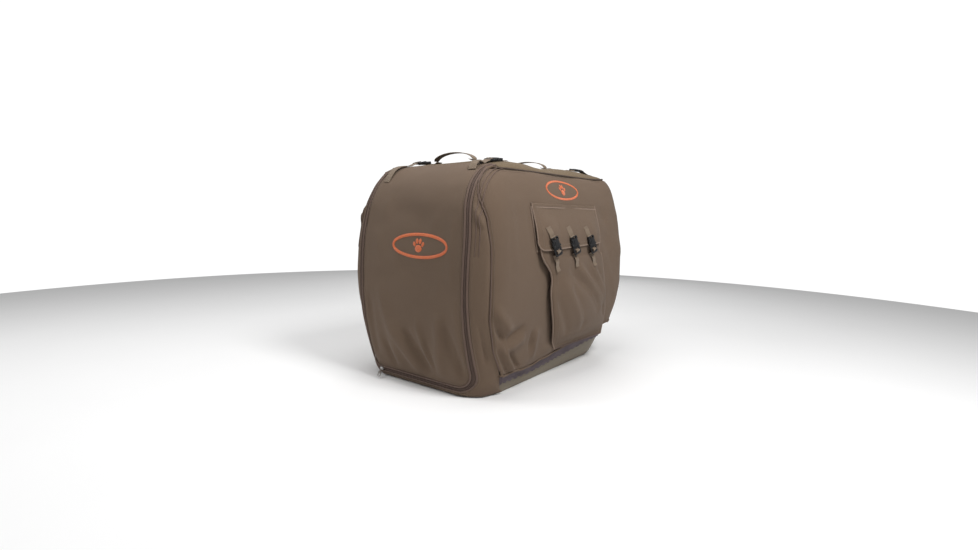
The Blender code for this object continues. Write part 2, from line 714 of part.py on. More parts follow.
def pocket_flap():
    """The flap has a slot behind each socket, so it lifts clear of the prongs."""
    rows = []
    for z in span(FLAP_LOW, FLAP_TOP, 9):
        rows.append([Vector((flap_x(z), y, z)) for y in span(*FLAP_Y, 9)])
    flap = sheet("pocket_flap", rows, FABRIC, CANVAS)
    for number, y in enumerate(BUCKLE_Y, 1):
        slot = boxes(f"prong_slot_{number}", [((-0.0181, -0.032, -0.020), (0.0181, 0.030, 0.004))])
        slot.matrix_world = buckle_frame(y)
        boolean(flap, slot)


def buckle_frame(y):
    """Pocket buckle frame: its mouth at the flap's hem, +Y down the strap, +Z outward."""
    slope = (flap_x(POCKET_TOP) - flap_x(FLAP_LOW)) / (POCKET_TOP - FLAP_LOW)
    down = Vector((-slope, math.tan(BUCKLE_LEAN), -1.0))
    outward = Vector((1.0, 0.0, slope))
    spot = Vector((flap_x(FLAP_LOW + 0.004) + 0.0046, y, FLAP_LOW + 0.004))
    return frame_at(spot, down, outward)


def pocket_straps():
    for number, y in enumerate(BUCKLE_Y, 1):
        place = buckle_frame(y)
        socket(f"pocket_socket_{number}", place)
        plug(f"pocket_plug_{number}", place)
        down = place.to_3x3() @ Vector((0, 1, 0))
        outward = place.to_3x3() @ Vector((0, 0, 1))
        start = place.translation
        high = [start - down * along for along in (SOCKET + 0.0006, SOCKET + 0.012, SOCKET + 0.024)]
        upper = [Vector((flap_x(point.z) + 0.0030, point.y, point.z)) for point in high]
        ribbon(f"flap_strap_{number}", upper, [outward] * 3)
        low = [start + down * along for along in (0.010, 0.024, 0.038, 0.052, 0.064)]
        tail = [Vector((wall_x(point.z) + 0.0036 + pocket_depth(point.z) + 0.0028, point.y, point.z))
                for point in low]
        ribbon(f"pocket_strap_{number}", tail, [(1, 0, 0)] * 5)


# ---------------------------------------------------------------- rear window
def rear_window():
    """A mesh window in the back panel and the flap that hangs over it."""
    def rows(low, high, half, out):
        return [[shoot((x, 0.2, z), (0, 1, 0), out) for x in span(half, -half, 9)]
                for z in span(low, high, 9)]
    sheet("rear_mesh", rows(VENT_LOW + 0.02, VENT_HIGH - 0.02, VENT_HALF - 0.02, 0.0022), 0.0014,
          MESH_BLACK)
    sheet("rear_vent_flap", rows(VENT_LOW, VENT_HIGH, VENT_HALF, 0.0062), FABRIC, CANVAS)


# ---------------------------------------------------------------- assembly
crate()
crate_door()
door_panel()
zip_half("zipper_door_side", 0.0011, ZIP_GAP / 2 - 0.0003)
zip_half("zipper_frame_side", ZIP_GAP / 2 + 0.0003, ZIP_GAP - 0.0008)
front_sill()
gusset("corner_gusset_right", 1)
gusset("corner_gusset_left", -1)
wall_panel("right_panel", SEAM_TURN, REAR_TURN, 13)
wall_panel("left_panel", 9.0 - REAR_TURN, 9.0 - SEAM_TURN, 13)
wall_panel("back_panel", REAR_TURN, 9.0 - REAR_TURN, 11)
roof_panel()
hem_band()
badges()
zipper_slider()
for where in ("front", "rear"):
    handle(where)
    for turn_side, turn_label in ((-1, "left"), (1, "right")):
        roll_strap(where, turn_side, turn_label)
pocket()
pocket_flap()
pocket_straps()
rear_window()
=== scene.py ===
"""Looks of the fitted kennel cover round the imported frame: fabric, zippers, webbing, buckles, crate."""
import json
import math

import bmesh
import bpy
import numpy as np
from mathutils import Matrix, Vector
from mathutils.bvhtree import BVHTree


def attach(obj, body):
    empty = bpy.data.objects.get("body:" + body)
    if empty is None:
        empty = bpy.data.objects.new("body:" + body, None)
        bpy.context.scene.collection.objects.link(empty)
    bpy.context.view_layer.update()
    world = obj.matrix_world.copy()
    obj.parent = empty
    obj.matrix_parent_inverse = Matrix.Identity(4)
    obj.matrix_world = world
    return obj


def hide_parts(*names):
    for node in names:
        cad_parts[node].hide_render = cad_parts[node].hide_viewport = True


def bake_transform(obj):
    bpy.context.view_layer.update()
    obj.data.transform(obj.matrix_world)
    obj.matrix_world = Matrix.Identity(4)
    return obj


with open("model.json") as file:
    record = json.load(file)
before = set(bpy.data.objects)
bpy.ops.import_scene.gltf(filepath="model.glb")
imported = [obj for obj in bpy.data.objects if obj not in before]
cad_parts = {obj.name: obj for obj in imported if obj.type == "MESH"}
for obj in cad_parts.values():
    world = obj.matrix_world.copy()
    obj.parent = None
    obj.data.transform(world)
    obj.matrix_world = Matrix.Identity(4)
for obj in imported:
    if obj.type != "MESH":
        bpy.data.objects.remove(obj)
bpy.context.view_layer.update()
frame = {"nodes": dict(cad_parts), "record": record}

# ---------------------------------------------------------------- outline, as the CAD has it
# height, half width, front reach, rear reach, corner radius
COVER = (
    (0.000, 0.2620, 0.426, 0.400, 0.105),
    (0.030, 0.2665, 0.432, 0.408, 0.106),
    (0.070, 0.2770, 0.441, 0.424, 0.110),
    (0.140, 0.2920, 0.455, 0.446, 0.115),
    (0.240, 0.3110, 0.466, 0.465, 0.110),
    (0.320, 0.3175, 0.470, 0.470, 0.105),
    (0.420, 0.3160, 0.468, 0.469, 0.105),
    (0.500, 0.3080, 0.462, 0.464, 0.105),
    (0.580, 0.2960, 0.450, 0.454, 0.105),
    (0.640, 0.2780, 0.426, 0.446, 0.105),
    (0.680, 0.2580, 0.392, 0.436, 0.105),
    (0.705, 0.2350, 0.355, 0.420, 0.100),
    (0.725, 0.1950, 0.300, 0.385, 0.095),
    (0.735, 0.1400, 0.230, 0.330, 0.090),
    (0.738, 0.0600, 0.100, 0.150, 0.050),
)
CRATE_LOW = (
    (0.000, 0.2500, 0.416, 0.392, 0.100),
    (0.010, 0.2555, 0.422, 0.398, 0.103),
    (0.030, 0.2585, 0.425, 0.402, 0.104),
    (0.060, 0.2625, 0.428, 0.406, 0.106),
    (0.334, 0.2980, 0.450, 0.450, 0.100),
)
BASE_TAPER, TAPER_FRONT, TAPER_REAR, TAPER_HIGH = 0.14, -0.34, 0.36, 0.14
ROOF_SEAM = 0.703
REAR_TURN = 3.5
SIDE_HEM, SIDE_HEM_RISE, RISE_FRONT, RISE_REAR = 0.066, 0.075, -0.15, 0.30
DOOR_HALF, DOOR_HALF_TOP, DOOR_CORNER, DOOR_SILL, DOOR_BEND = 0.228, 0.190, 0.050, 0.030, 0.600
DOOR_HINGE = math.radians(81.5)
HINGE_Y = -0.300
ZIP_GAP = 0.011
CLOTH = 0.0022
CENTRE = (0.0, 0.0, 0.33)
MIRROR = np.array([-1.0, 1.0, 1.0])
# where rays towards the front and the edge of the roof set out from
FRONT_CORE = -0.28


def fine_table(table, steps=600):
    """The outline's columns on a fine grid of heights, through smooth monotone curves."""
    knots = np.array([row[0] for row in table])
    heights = np.linspace(knots[0], knots[-1], steps)
    columns = [heights]
    for k in range(1, 5):
        value = np.array([row[k] for row in table])
        step = np.diff(knots)
        slope = np.diff(value) / step
        tangent = np.zeros(len(knots))
        same = slope[:-1] * slope[1:] > 0
        inner = np.zeros(len(slope) - 1)
        inner[same] = 2 / (1 / slope[:-1][same] + 1 / slope[1:][same])
        tangent[1:-1] = inner
        tangent[0], tangent[-1] = slope[0], slope[-1]
        at = np.clip(np.searchsorted(knots, heights, side="right") - 1, 0, len(step) - 1)
        t = (heights - knots[at]) / step[at]
        columns.append((2 * t**3 - 3 * t**2 + 1) * value[at] + (t**3 - 2 * t**2 + t) * step[at] * tangent[at]
                       + (3 * t**2 - 2 * t**3) * value[at + 1] + (t**3 - t**2) * step[at] * tangent[at + 1])
    return columns


COVER_FINE = fine_table(COVER)
CRATE_FINE = fine_table(CRATE_LOW)


def section(table, height):
    return [np.interp(height, table[0], table[k]) for k in range(1, 5)]


def taper(y, height):
    """The foot narrows towards the rear, and less so with height."""
    back = np.clip((y - TAPER_FRONT) / (TAPER_REAR - TAPER_FRONT), 0.0, 1.0)
    low = 1.0 - np.clip(height / TAPER_HIGH, 0.0, 1.0)
    return 1.0 - BASE_TAPER * back * low**2


def ring(table, height, turn, out=0.0):
    """Points of the rounded outline. Turn 0 to 8 runs from the front left, round by +X."""
    height, turn = np.broadcast_arrays(np.asarray(height, float), np.asarray(turn, float) % 8.0)
    half, front, rear, radius = section(table, height)
    leg, part = np.floor(turn), turn % 1.0
    in_x, front_y, rear_y = half - radius, -front + radius, rear - radius
    centre_x = np.where((leg == 1) | (leg == 3), in_x, -in_x)
    centre_y = np.where((leg == 1) | (leg == 7), front_y, rear_y)
    angle = math.pi / 2 * (part + (leg - 3) / 2)
    wide = radius + out
    x = centre_x + wide * np.cos(angle)
    y = centre_y + wide * np.sin(angle)
    x = np.where(leg == 0, -in_x + 2 * in_x * part, x)
    y = np.where(leg == 0, front_y - wide, y)
    x = np.where(leg == 2, in_x + wide, x)
    y = np.where(leg == 2, front_y + (rear_y - front_y) * part, y)
    x = np.where(leg == 4, in_x - 2 * in_x * part, x)
    y = np.where(leg == 4, rear_y + wide, y)
    x = np.where(leg == 6, -in_x - wide, x)
    y = np.where(leg == 6, rear_y - (rear_y - front_y) * part, y)
    return np.stack([x * taper(y, height), y, height], axis=-1)


def inside(points):
    half, front, rear, radius = section(COVER_FINE, points[..., 2])
    reach = np.where(points[..., 1] < 0, front, rear)
    past_x = np.maximum(np.abs(points[..., 0]) / taper(points[..., 1], points[..., 2]) - (half - radius), 0.0)
    past_y = np.maximum(np.abs(points[..., 1]) - (reach - radius), 0.0)
    return (np.hypot(past_x, past_y) <= radius) & (points[..., 2] <= COVER[-1][0])


def shoot(origin, direction):
    """Where rays from inside the cover leave its smooth outer surface."""
    origin, direction = np.broadcast_arrays(np.asarray(origin, float), np.asarray(direction, float))
    direction = direction / np.linalg.norm(direction, axis=-1, keepdims=True)
    near = np.zeros(origin.shape[:-1])
    far = np.full(origin.shape[:-1], 0.9)
    for _ in range(34):
        middle = (near + far) / 2
        within = inside(origin + direction * middle[..., None])
        near = np.where(within, middle, near)
        far = np.where(within, far, middle)
    return origin + direction * near[..., None]


def ease(value, low, high):
    t = np.clip((value - low) / (high - low), 0.0, 1.0)
    return t * t * (3 - 2 * t)


# ---------------------------------------------------------------- materials
def nodes_of(name):
    made = bpy.data.materials.new(name)
    made.use_nodes = True
    tree = made.node_tree
    where = add(tree, "ShaderNodeTexCoord").outputs["Object"]
    return made, tree, tree.nodes["Principled BSDF"], where


def add(tree, kind, **inputs):
    node = tree.nodes.new(kind)
    for key, value in inputs.items():
        label = key.replace("_", " ")
        if label in node.inputs:
            node.inputs[label].default_value = value
        else:
            setattr(node, key, value)
    return node


def maths(tree, operation, first, second=None):
    node = tree.nodes.new("ShaderNodeMath")
    node.operation = operation
    for slot, value in zip(node.inputs, (first, second)):
        if value is None:
            continue
        if isinstance(value, (int, float)):
            slot.default_value = value
        else:
            tree.links.new(value, slot)
    return node.outputs[0]


def mixed(tree, factor, first, second, blend="MIX"):
    node = tree.nodes.new("ShaderNodeMix")
    node.data_type = "RGBA"
    node.blend_type = blend
    sockets = node.inputs[0], node.inputs[6], node.inputs[7]
    for slot, value in zip(sockets, (factor, first, second)):
        if isinstance(value, (int, float)):
            slot.default_value = value
        elif isinstance(value, tuple):
            slot.default_value = (*value, 1.0)
        else:
            tree.links.new(value, slot)
    return node.outputs[2]


def noise_of(tree, where, scale, detail=2.0, rough=0.5):
    node = add(tree, "ShaderNodeTexNoise", Scale=scale, Detail=detail, Roughness=rough)
    tree.links.new(where, node.inputs["Vector"])
    return node.outputs["Fac"]


def thread_weave(tree, pitch, strength, distance):
    """A plain weave from the cloth coordinates kept on each piece, as height and as a bump."""
    cloth = add(tree, "ShaderNodeAttribute", attribute_name="cloth")
    split = tree.nodes.new("ShaderNodeSeparateXYZ")
    tree.links.new(cloth.outputs["Vector"], split.inputs[0])
    turn = 2 * math.pi / pitch
    warp = maths(tree, "SINE", maths(tree, "MULTIPLY", split.outputs[0], turn))
    weft = maths(tree, "SINE", maths(tree, "MULTIPLY", split.outputs[1], turn))
    height = maths(tree, "MULTIPLY", warp, weft)
    bump = add(tree, "ShaderNodeBump", Strength=strength, Distance=distance)
    tree.links.new(height, bump.inputs["Height"])
    return height, bump


def cloth_material(name, colour, dark, light, rough=0.86, sheen=0.06, pitch=0.0016, weave=0.35,
                   mottle=1.0):
    """Woven cloth: threads, slubs, soft patches of tone and a dusty sheen."""
    made, tree, shader, where = nodes_of(name)
    height, bump = thread_weave(tree, pitch, weave, 0.0003)
    tree.links.new(bump.outputs[0], shader.inputs["Normal"])
    broad = noise_of(tree, where, 5.0, 3.0, 0.55)
    slub = noise_of(tree, where, 260.0, 3.0, 0.7)
    tone = mixed(tree, maths(tree, "MULTIPLY", broad, 0.75 * mottle), colour, dark)
    tone = mixed(tree, maths(tree, "MULTIPLY", slub, 0.30 * mottle), tone, light)
    threads = maths(tree, "MULTIPLY", maths(tree, "ADD", height, 1.0), 0.11)
    tone = mixed(tree, threads, tone, dark)
    tree.links.new(tone, shader.inputs["Base Color"])
    grain = maths(tree, "ADD", maths(tree, "MULTIPLY", slub, 0.16), rough - 0.08)
    tree.links.new(grain, shader.inputs["Roughness"])
    shader.inputs["Sheen Weight"].default_value = sheen
    shader.inputs["Sheen Roughness"].default_value = 0.6
    shader.inputs["Specular IOR Level"].default_value = 0.25
    return made


def webbing_material(name, colour, dark, ribs=0.0026):
    """Flat webbing: diagonal ribs across the strap, with darker threads and fuzz."""
    made, tree, shader, where = nodes_of(name)
    height, bump = thread_weave(tree, ribs, 0.6, 0.0005)
    tree.links.new(bump.outputs[0], shader.inputs["Normal"])
    fuzz = noise_of(tree, where, 400.0, 2.0, 0.7)
    tone = mixed(tree, maths(tree, "MULTIPLY", maths(tree, "ADD", height, 1.0), 0.28), colour, dark)
    tone = mixed(tree, maths(tree, "MULTIPLY", fuzz, 0.35), tone, dark)
    tree.links.new(tone, shader.inputs["Base Color"])
    grain = maths(tree, "ADD", maths(tree, "MULTIPLY", fuzz, 0.2), 0.62)
    tree.links.new(grain, shader.inputs["Roughness"])
    shader.inputs["Sheen Weight"].default_value = 0.15
    return made


def plastic_material(name, colour, light, rough, grain=900.0, depth=0.00012):
    made, tree, shader, where = nodes_of(name)
    fine = noise_of(tree, where, grain, 2.0, 0.6)
    broad = noise_of(tree, where, 14.0, 3.0, 0.6)
    tone = mixed(tree, maths(tree, "MULTIPLY", broad, 0.5), colour, light)
    tree.links.new(tone, shader.inputs["Base Color"])
    tree.links.new(maths(tree, "ADD", maths(tree, "MULTIPLY", fine, 0.22), rough - 0.1),
                   shader.inputs["Roughness"])
    bump = add(tree, "ShaderNodeBump", Strength=0.4, Distance=depth)
    tree.links.new(fine, bump.inputs["Height"])
    tree.links.new(bump.outputs[0], shader.inputs["Normal"])
    return made


def metal_material(name, colour, rough):
    made, tree, shader, where = nodes_of(name)
    scuff = noise_of(tree, where, 220.0, 4.0, 0.65)
    tone = mixed(tree, scuff, colour, tuple(c * 0.8 for c in colour))
    tree.links.new(tone, shader.inputs["Base Color"])
    tree.links.new(maths(tree, "ADD", maths(tree, "MULTIPLY", scuff, 0.25), rough - 0.08),
                   shader.inputs["Roughness"])
    shader.inputs["Metallic"].default_value = 1.0
    return made


def floor_material():
    made, tree, shader, where = nodes_of("studio_floor")
    faint = noise_of(tree, where, 3.0, 2.0, 0.5)
    tone = mixed(tree, faint, (0.90, 0.90, 0.90), (0.92, 0.92, 0.92))
    tree.links.new(tone, shader.inputs["Base Color"])
    shader.inputs["Roughness"].default_value = 0.85
    return made


CANVAS = cloth_material("brown_polyester", (0.146, 0.098, 0.065), (0.098, 0.063, 0.040),
                        (0.192, 0.138, 0.100))
CANVAS_TOP = cloth_material("brown_polyester_roof", (0.152, 0.107, 0.062), (0.116, 0.079, 0.042),
                            (0.188, 0.140, 0.092))
BINDING = cloth_material("grosgrain_binding", (0.146, 0.097, 0.074), (0.094, 0.060, 0.046),
                         (0.205, 0.145, 0.118), pitch=0.0009, weave=0.5)
TAPE = cloth_material("zip_tape", (0.118, 0.078, 0.061), (0.080, 0.051, 0.040), (0.172, 0.118, 0.094),
                      pitch=0.0008, weave=0.5)
ELASTIC = cloth_material("grey_elastic", (0.155, 0.118, 0.132), (0.062, 0.046, 0.052), (0.330, 0.280, 0.300),
                         pitch=0.0012, weave=0.7)
BINDING_LIGHT = cloth_material("light_binding", (0.240, 0.172, 0.130), (0.165, 0.114, 0.084),
                               (0.315, 0.240, 0.190), pitch=0.0009, weave=0.5)
BINDING_DARK = cloth_material("dark_binding", (0.085, 0.058, 0.042), (0.050, 0.034, 0.026),
                              (0.130, 0.095, 0.075), pitch=0.0009, weave=0.5)
WEB = webbing_material("tan_webbing", (0.225, 0.160, 0.105), (0.115, 0.080, 0.050))
# Painted shade: a darker copy of the tan webbing, put on the undersides of straps in place of the shade there
WEB_PAINTED_SHADE = webbing_material("webbing_painted_underside_shade", (0.120, 0.092, 0.066), (0.060, 0.044, 0.032))
THREAD = cloth_material("tan_thread", (0.255, 0.195, 0.150), (0.170, 0.122, 0.090), (0.320, 0.260, 0.210),
                        pitch=0.0005)
ORANGE = cloth_material("orange_thread", (0.800, 0.150, 0.018), (0.560, 0.070, 0.010), (0.900, 0.300, 0.080),
                        rough=0.55, sheen=0.3, pitch=0.0010, weave=0.9, mottle=0.8)
SHELL = plastic_material("taupe_plastic", (0.165, 0.132, 0.088), (0.200, 0.165, 0.115), 0.52)
BLACK = plastic_material("black_acetal", (0.010, 0.010, 0.011), (0.022, 0.022, 0.024), 0.38, 1400.0, 0.00006)
NICKEL = metal_material("nickel_plate", (0.62, 0.61, 0.60), 0.30)
WIRE = metal_material("zinc_wire", (0.45, 0.45, 0.46), 0.42)
NET = cloth_material("black_net", (0.014, 0.014, 0.015), (0.006, 0.006, 0.006), (0.030, 0.030, 0.032),
                     pitch=0.0030, weave=0.8)


# ---------------------------------------------------------------- mesh helpers
def new_object(name, mesh, look):
    made = bpy.data.objects.new(name, mesh)
    bpy.context.scene.collection.objects.link(made)
    mesh.materials.append(look)
    return made


def keep_cloth(mesh, across, along):
    """Cloth coordinates in metres, for the weave."""
    layer = mesh.attributes.new("cloth", "FLOAT_VECTOR", "POINT")
    flat = np.stack([across.ravel(), along.ravel(), np.zeros(across.size)], axis=-1)
    layer.data.foreach_set("vector", flat.astype(np.float32).ravel())


def lengths(points, axis):
    step = np.linalg.norm(np.diff(points, axis=axis), axis=-1)
    start = np.zeros_like(np.take(step, [0], axis=axis))
    return np.concatenate([start, np.cumsum(step, axis=axis)], axis=axis)


def quads_of(points, closed=False):
    """The quads between a grid's rows. A closed grid joins its last column to its first."""
    rows, cols = points.shape[:2]
    index = np.arange(rows * cols).reshape(rows, cols)
    low, high = index[:-1], index[1:]
    if closed:
        corners = [low, np.roll(low, -1, 1), np.roll(high, -1, 1), high]
    else:
        corners = [low[:, :-1], low[:, 1:], high[:, 1:], high[:, :-1]]
    return np.stack(corners, axis=-1).reshape(-1, 4)


def thicken(made, thick):
    skin = made.modifiers.new("Thickness", "SOLIDIFY")
    skin.thickness = thick
    skin.offset = -1.0


def grid_object(name, points, look, thick=0.0, closed=False):
    """A smooth sheet from a grid of points, facing away from the centre, with optional thickness."""
    quads = quads_of(points, closed)
    corner = points.reshape(-1, 3)
    side = np.cross(corner[quads[:, 1]] - corner[quads[:, 0]], corner[quads[:, 3]] - corner[quads[:, 0]])
    if (side * (corner[quads[:, 0]] - np.array(CENTRE))).sum() < 0:
        quads = quads[:, ::-1]
    mesh = bpy.data.meshes.new(name)
    mesh.from_pydata(corner.tolist(), [], quads.tolist())
    keep_cloth(mesh, lengths(points, 1), lengths(points, 0))
    mesh.shade_smooth()
    made = new_object(name, mesh, look)
    if thick:
        thicken(made, thick)
    return made


TREES = {}


def keep_tree(name, points):
    """Remember a cloth's outer face, so that trim can be laid on it."""
    TREES[name] = BVHTree.FromPolygons(points.reshape(-1, 3).tolist(), quads_of(points).tolist())


def land(names, start, aim, out=0.0):
    """Where a ray from inside meets the outermost of the named cloths, lifted off it by out."""
    aim = Vector(aim).normalized()
    best = None
    for name in names:
        place, normal, _, distance = TREES[name].ray_cast(Vector(start), aim, 1.0)
        if place is not None and (best is None or distance > best[2]):
            best = (place, normal, distance)
    if best is None:
        place = Vector(shoot(tuple(start), tuple(aim)))
        return place + aim * out, aim
    place, normal, _ = best
    normal = normal if normal.dot(aim) > 0 else -normal
    return place + normal * out, normal


def land_line(names, starts, aims, out=0.0):
    found = [land(names, start, aim, out) for start, aim in zip(starts, aims)]
    return np.array([tuple(place) for place, _ in found]), np.array([tuple(normal) for _, normal in found])


def normals_of(points):
    across = np.gradient(points, axis=1)
    along = np.gradient(points, axis=0)
    normal = np.cross(across, along)
    normal /= np.maximum(np.linalg.norm(normal, axis=-1, keepdims=True), 1e-9)
    if (normal * (points - np.array(CENTRE))).sum() < 0:
        normal = -normal
    return normal


# How the filled-out cover leaves its plain shape: centre, radius and push, in metres
SETTLING = (((-0.205, -0.350, 0.690), 0.075, (-0.008, -0.006, 0.009)),
            ((0.235, 0.400, 0.700), 0.085, (0.007, 0.004, 0.008)),
            ((-0.315, -0.200, 0.335), 0.100, (-0.011, 0.0, 0.0)),
            ((-0.300, -0.260, 0.520), 0.080, (0.007, 0.0, 0.0)))


def settle(mesh):
    """Push every piece near a settling centre alike, so that seams and trim stay together."""
    points = np.empty(len(mesh.vertices) * 3)
    mesh.vertices.foreach_get("co", points)
    points = points.reshape(-1, 3)
    moved = points.copy()
    for centre, radius, push in SETTLING:
        away = np.linalg.norm(points - np.array(centre), axis=-1) / radius
        moved += np.exp(-away**2)[:, None] * np.array(push)
    mesh.vertices.foreach_set("co", moved.ravel())
    mesh.update()


def finish_piece(made, body, replaces=()):
    settle(made.data)
    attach(made, body)
    if replaces:
        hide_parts(*replaces)
    return made


# ---------------------------------------------------------------- how the cloth lies
def ridge(points, start, end, width, height, skew=0.0):
    """A soft fold from start to end. Skew makes one flank steeper, as under a pinch."""
    start, end = np.array(start), np.array(end)
    run = end - start
    t = ((points - start) @ run) / (run @ run)
    near = start + np.clip(t, 0, 1)[..., None] * run
    away = points - near
    distance = np.linalg.norm(away, axis=-1)
    side = np.sign((np.cross(np.broadcast_to(run, away.shape), away) * points).sum(-1))
    scale = width * (1 + skew * side)
    fade = np.clip(1 - (np.abs(t - 0.5) * 2) ** 4, 0, 1)
    return height * np.exp(-(distance / scale) ** 2) * fade


def ripple(points, seed, size):
    """Smooth pseudo-random waves from a few plane waves, the same on every run."""
    rng = np.random.default_rng(seed)
    total = np.zeros(points.shape[:-1])
    for _ in range(9):
        direction = rng.normal(size=3)
        direction /= np.linalg.norm(direction)
        total += np.sin(points @ direction * (2 * math.pi / (size * rng.uniform(0.7, 1.5)))
                        + rng.uniform(0, 6.28))
    return total / 3.0


def edge_distance(points):
    """Distance of each grid point to the sheet's border, in metres."""
    across, along = lengths(points, 1), lengths(points, 0)
    wide, tall = across[:, -1:], along[-1:, :]
    return np.minimum(np.minimum(across, wide - across), np.minimum(along, tall - along))


def folded(depth, points, folds, share=1.0):
    """Add folds to a depth. Each is a start, an end, a width, a height and a skew."""
    for fold in folds:
        depth = depth + share * ridge(points, *fold)
    return depth


def relax(points, depth):
    """Move a sheet along its normals."""
    return points + normals_of(points) * depth[..., None]


def common_lie(points):
    """Waves shared by all panels, so that neighbours still meet at their seams."""
    return 0.0016 * ripple(points, 3, 0.34) + 0.0005 * ripple(points, 8, 0.09)


def seam_dip(points, width=0.007, depth=0.0022):
    return -depth * np.exp(-(edge_distance(points) / width) ** 2)


# ---------------------------------------------------------------- camera, lights and floor
CAMERA_LENS, CAMERA_PLACE = 19.79, (1.2408, -1.6337, 0.5604)
CAMERA_YAW, CAMERA_PITCH, CAMERA_ROLL = math.radians(128.25), math.radians(-6.41), math.radians(1.19)
GLOW, GLOW_SEEN = 0.28, 0.78
# name, place, aim, size and power of each lamp
LAMPS = (("key", (1.8, -0.4, 2.4), (0.1, 0.0, 0.35), 0.8, 52.0),
         ("front_fill", (-1.5, -1.9, 2.1), (0.0, -0.2, 0.35), 1.0, 20.0),
         ("top", (0.0, -0.4, 2.8), (0.0, 0.0, 0.4), 1.6, 26.0),
         ("rear_fill", (-1.4, 2.2, 1.6), (0.0, 0.0, 0.4), 2.0, 16.0))
FLOOR_RADIUS, FLOOR_DROP = 3.4, 0.0006


def place_camera():
    camera = bpy.data.cameras.new("camera")
    camera.sensor_width = 36.0
    camera.lens = CAMERA_LENS
    eye = bpy.data.objects.new("camera", camera)
    bpy.context.scene.collection.objects.link(eye)
    level = math.cos(CAMERA_PITCH)
    ahead = Vector((math.cos(CAMERA_YAW) * level, math.sin(CAMERA_YAW) * level, math.sin(CAMERA_PITCH)))
    right = ahead.cross(Vector((0, 0, 1))).normalized()
    up = right.cross(ahead)
    turned = right * math.cos(CAMERA_ROLL) + up * math.sin(CAMERA_ROLL)
    upright = turned.cross(ahead)
    facing = Matrix((turned, upright, -ahead)).transposed().to_4x4()
    eye.matrix_world = Matrix.Translation(CAMERA_PLACE) @ facing
    bpy.context.scene.camera = eye


def light_studio():
    """A white surround, brighter to the camera than to the object, and four soft lamps."""
    world = bpy.data.worlds.new("studio")
    world.use_nodes = True
    tree = world.node_tree
    background = tree.nodes["Background"]
    background.inputs[0].default_value = (1.0, 1.0, 1.0, 1.0)
    seen = add(tree, "ShaderNodeLightPath").outputs["Is Camera Ray"]
    strength = maths(tree, "ADD", maths(tree, "MULTIPLY", seen, GLOW_SEEN), GLOW)
    tree.links.new(strength, background.inputs[1])
    bpy.context.scene.world = world
    bpy.context.scene.view_settings.view_transform = "Standard"
    for name, place, aim, size, power in LAMPS:
        light = bpy.data.lights.new(name, "AREA")
        light.size = size
        light.energy = power
        lamp = bpy.data.objects.new(name, light)
        bpy.context.scene.collection.objects.link(lamp)
        lamp.location = place
        lamp.rotation_euler = (Vector(aim) - Vector(place)).to_track_quat("-Z", "Y").to_euler()


def lay_floor():
    mesh = bpy.data.meshes.new("floor")
    work = bmesh.new()
    bmesh.ops.create_circle(work, cap_ends=True, segments=128, radius=FLOOR_RADIUS,
                            matrix=Matrix.Translation((0, 0, -FLOOR_DROP)))
    work.to_mesh(mesh)
    work.free()
    new_object("floor", mesh, floor_material())


place_camera()
light_studio()
lay_floor()


# ---------------------------------------------------------------- cover panels
def lower_edge(turn):
    y = ring(COVER_FINE, SIDE_HEM, turn)[..., 1]
    return SIDE_HEM + SIDE_HEM_RISE * np.clip((y - RISE_FRONT) / (RISE_REAR - RISE_FRONT), 0, 1)


# Height and turn of the front corner seam: it runs close to the zipper at the roof, then swings out
SEAM_PATH = ((0.004, 2.02), (0.090, 1.88), (0.150, 1.72), (0.255, 1.60), (0.345, 1.60), (0.470, 1.60),
             (0.550, 1.53), (0.585, 1.45), (0.620, 1.36), (0.660, 1.36), (ROOF_SEAM, 1.42))


def seam_turn(height):
    return np.interp(height, [row[0] for row in SEAM_PATH], [row[1] for row in SEAM_PATH])


def wall_grid(side, columns=120, rows=84):
    """A side panel from the front corner seam to the rear corner seam."""
    v = np.linspace(0, 1, rows)[:, None]
    u = np.linspace(0, 1, columns)[None, :]
    first = np.full_like(v, 1.62)
    turn = first + (REAR_TURN - first) * u
    for _ in range(3):
        height = lower_edge(turn) + (ROOF_SEAM - lower_edge(turn)) * v
        first = seam_turn(height)
        turn = first + (REAR_TURN - 0.004 - first) * u + 0.006 * (1 - u)
    points = ring(COVER_FINE, height, turn)
    if side < 0:
        points = points * MIRROR
    return points


FRONT_SHARE, REAR_SHARE, FOLD_SPLIT_Y = 2.3, 0.9, 0.1
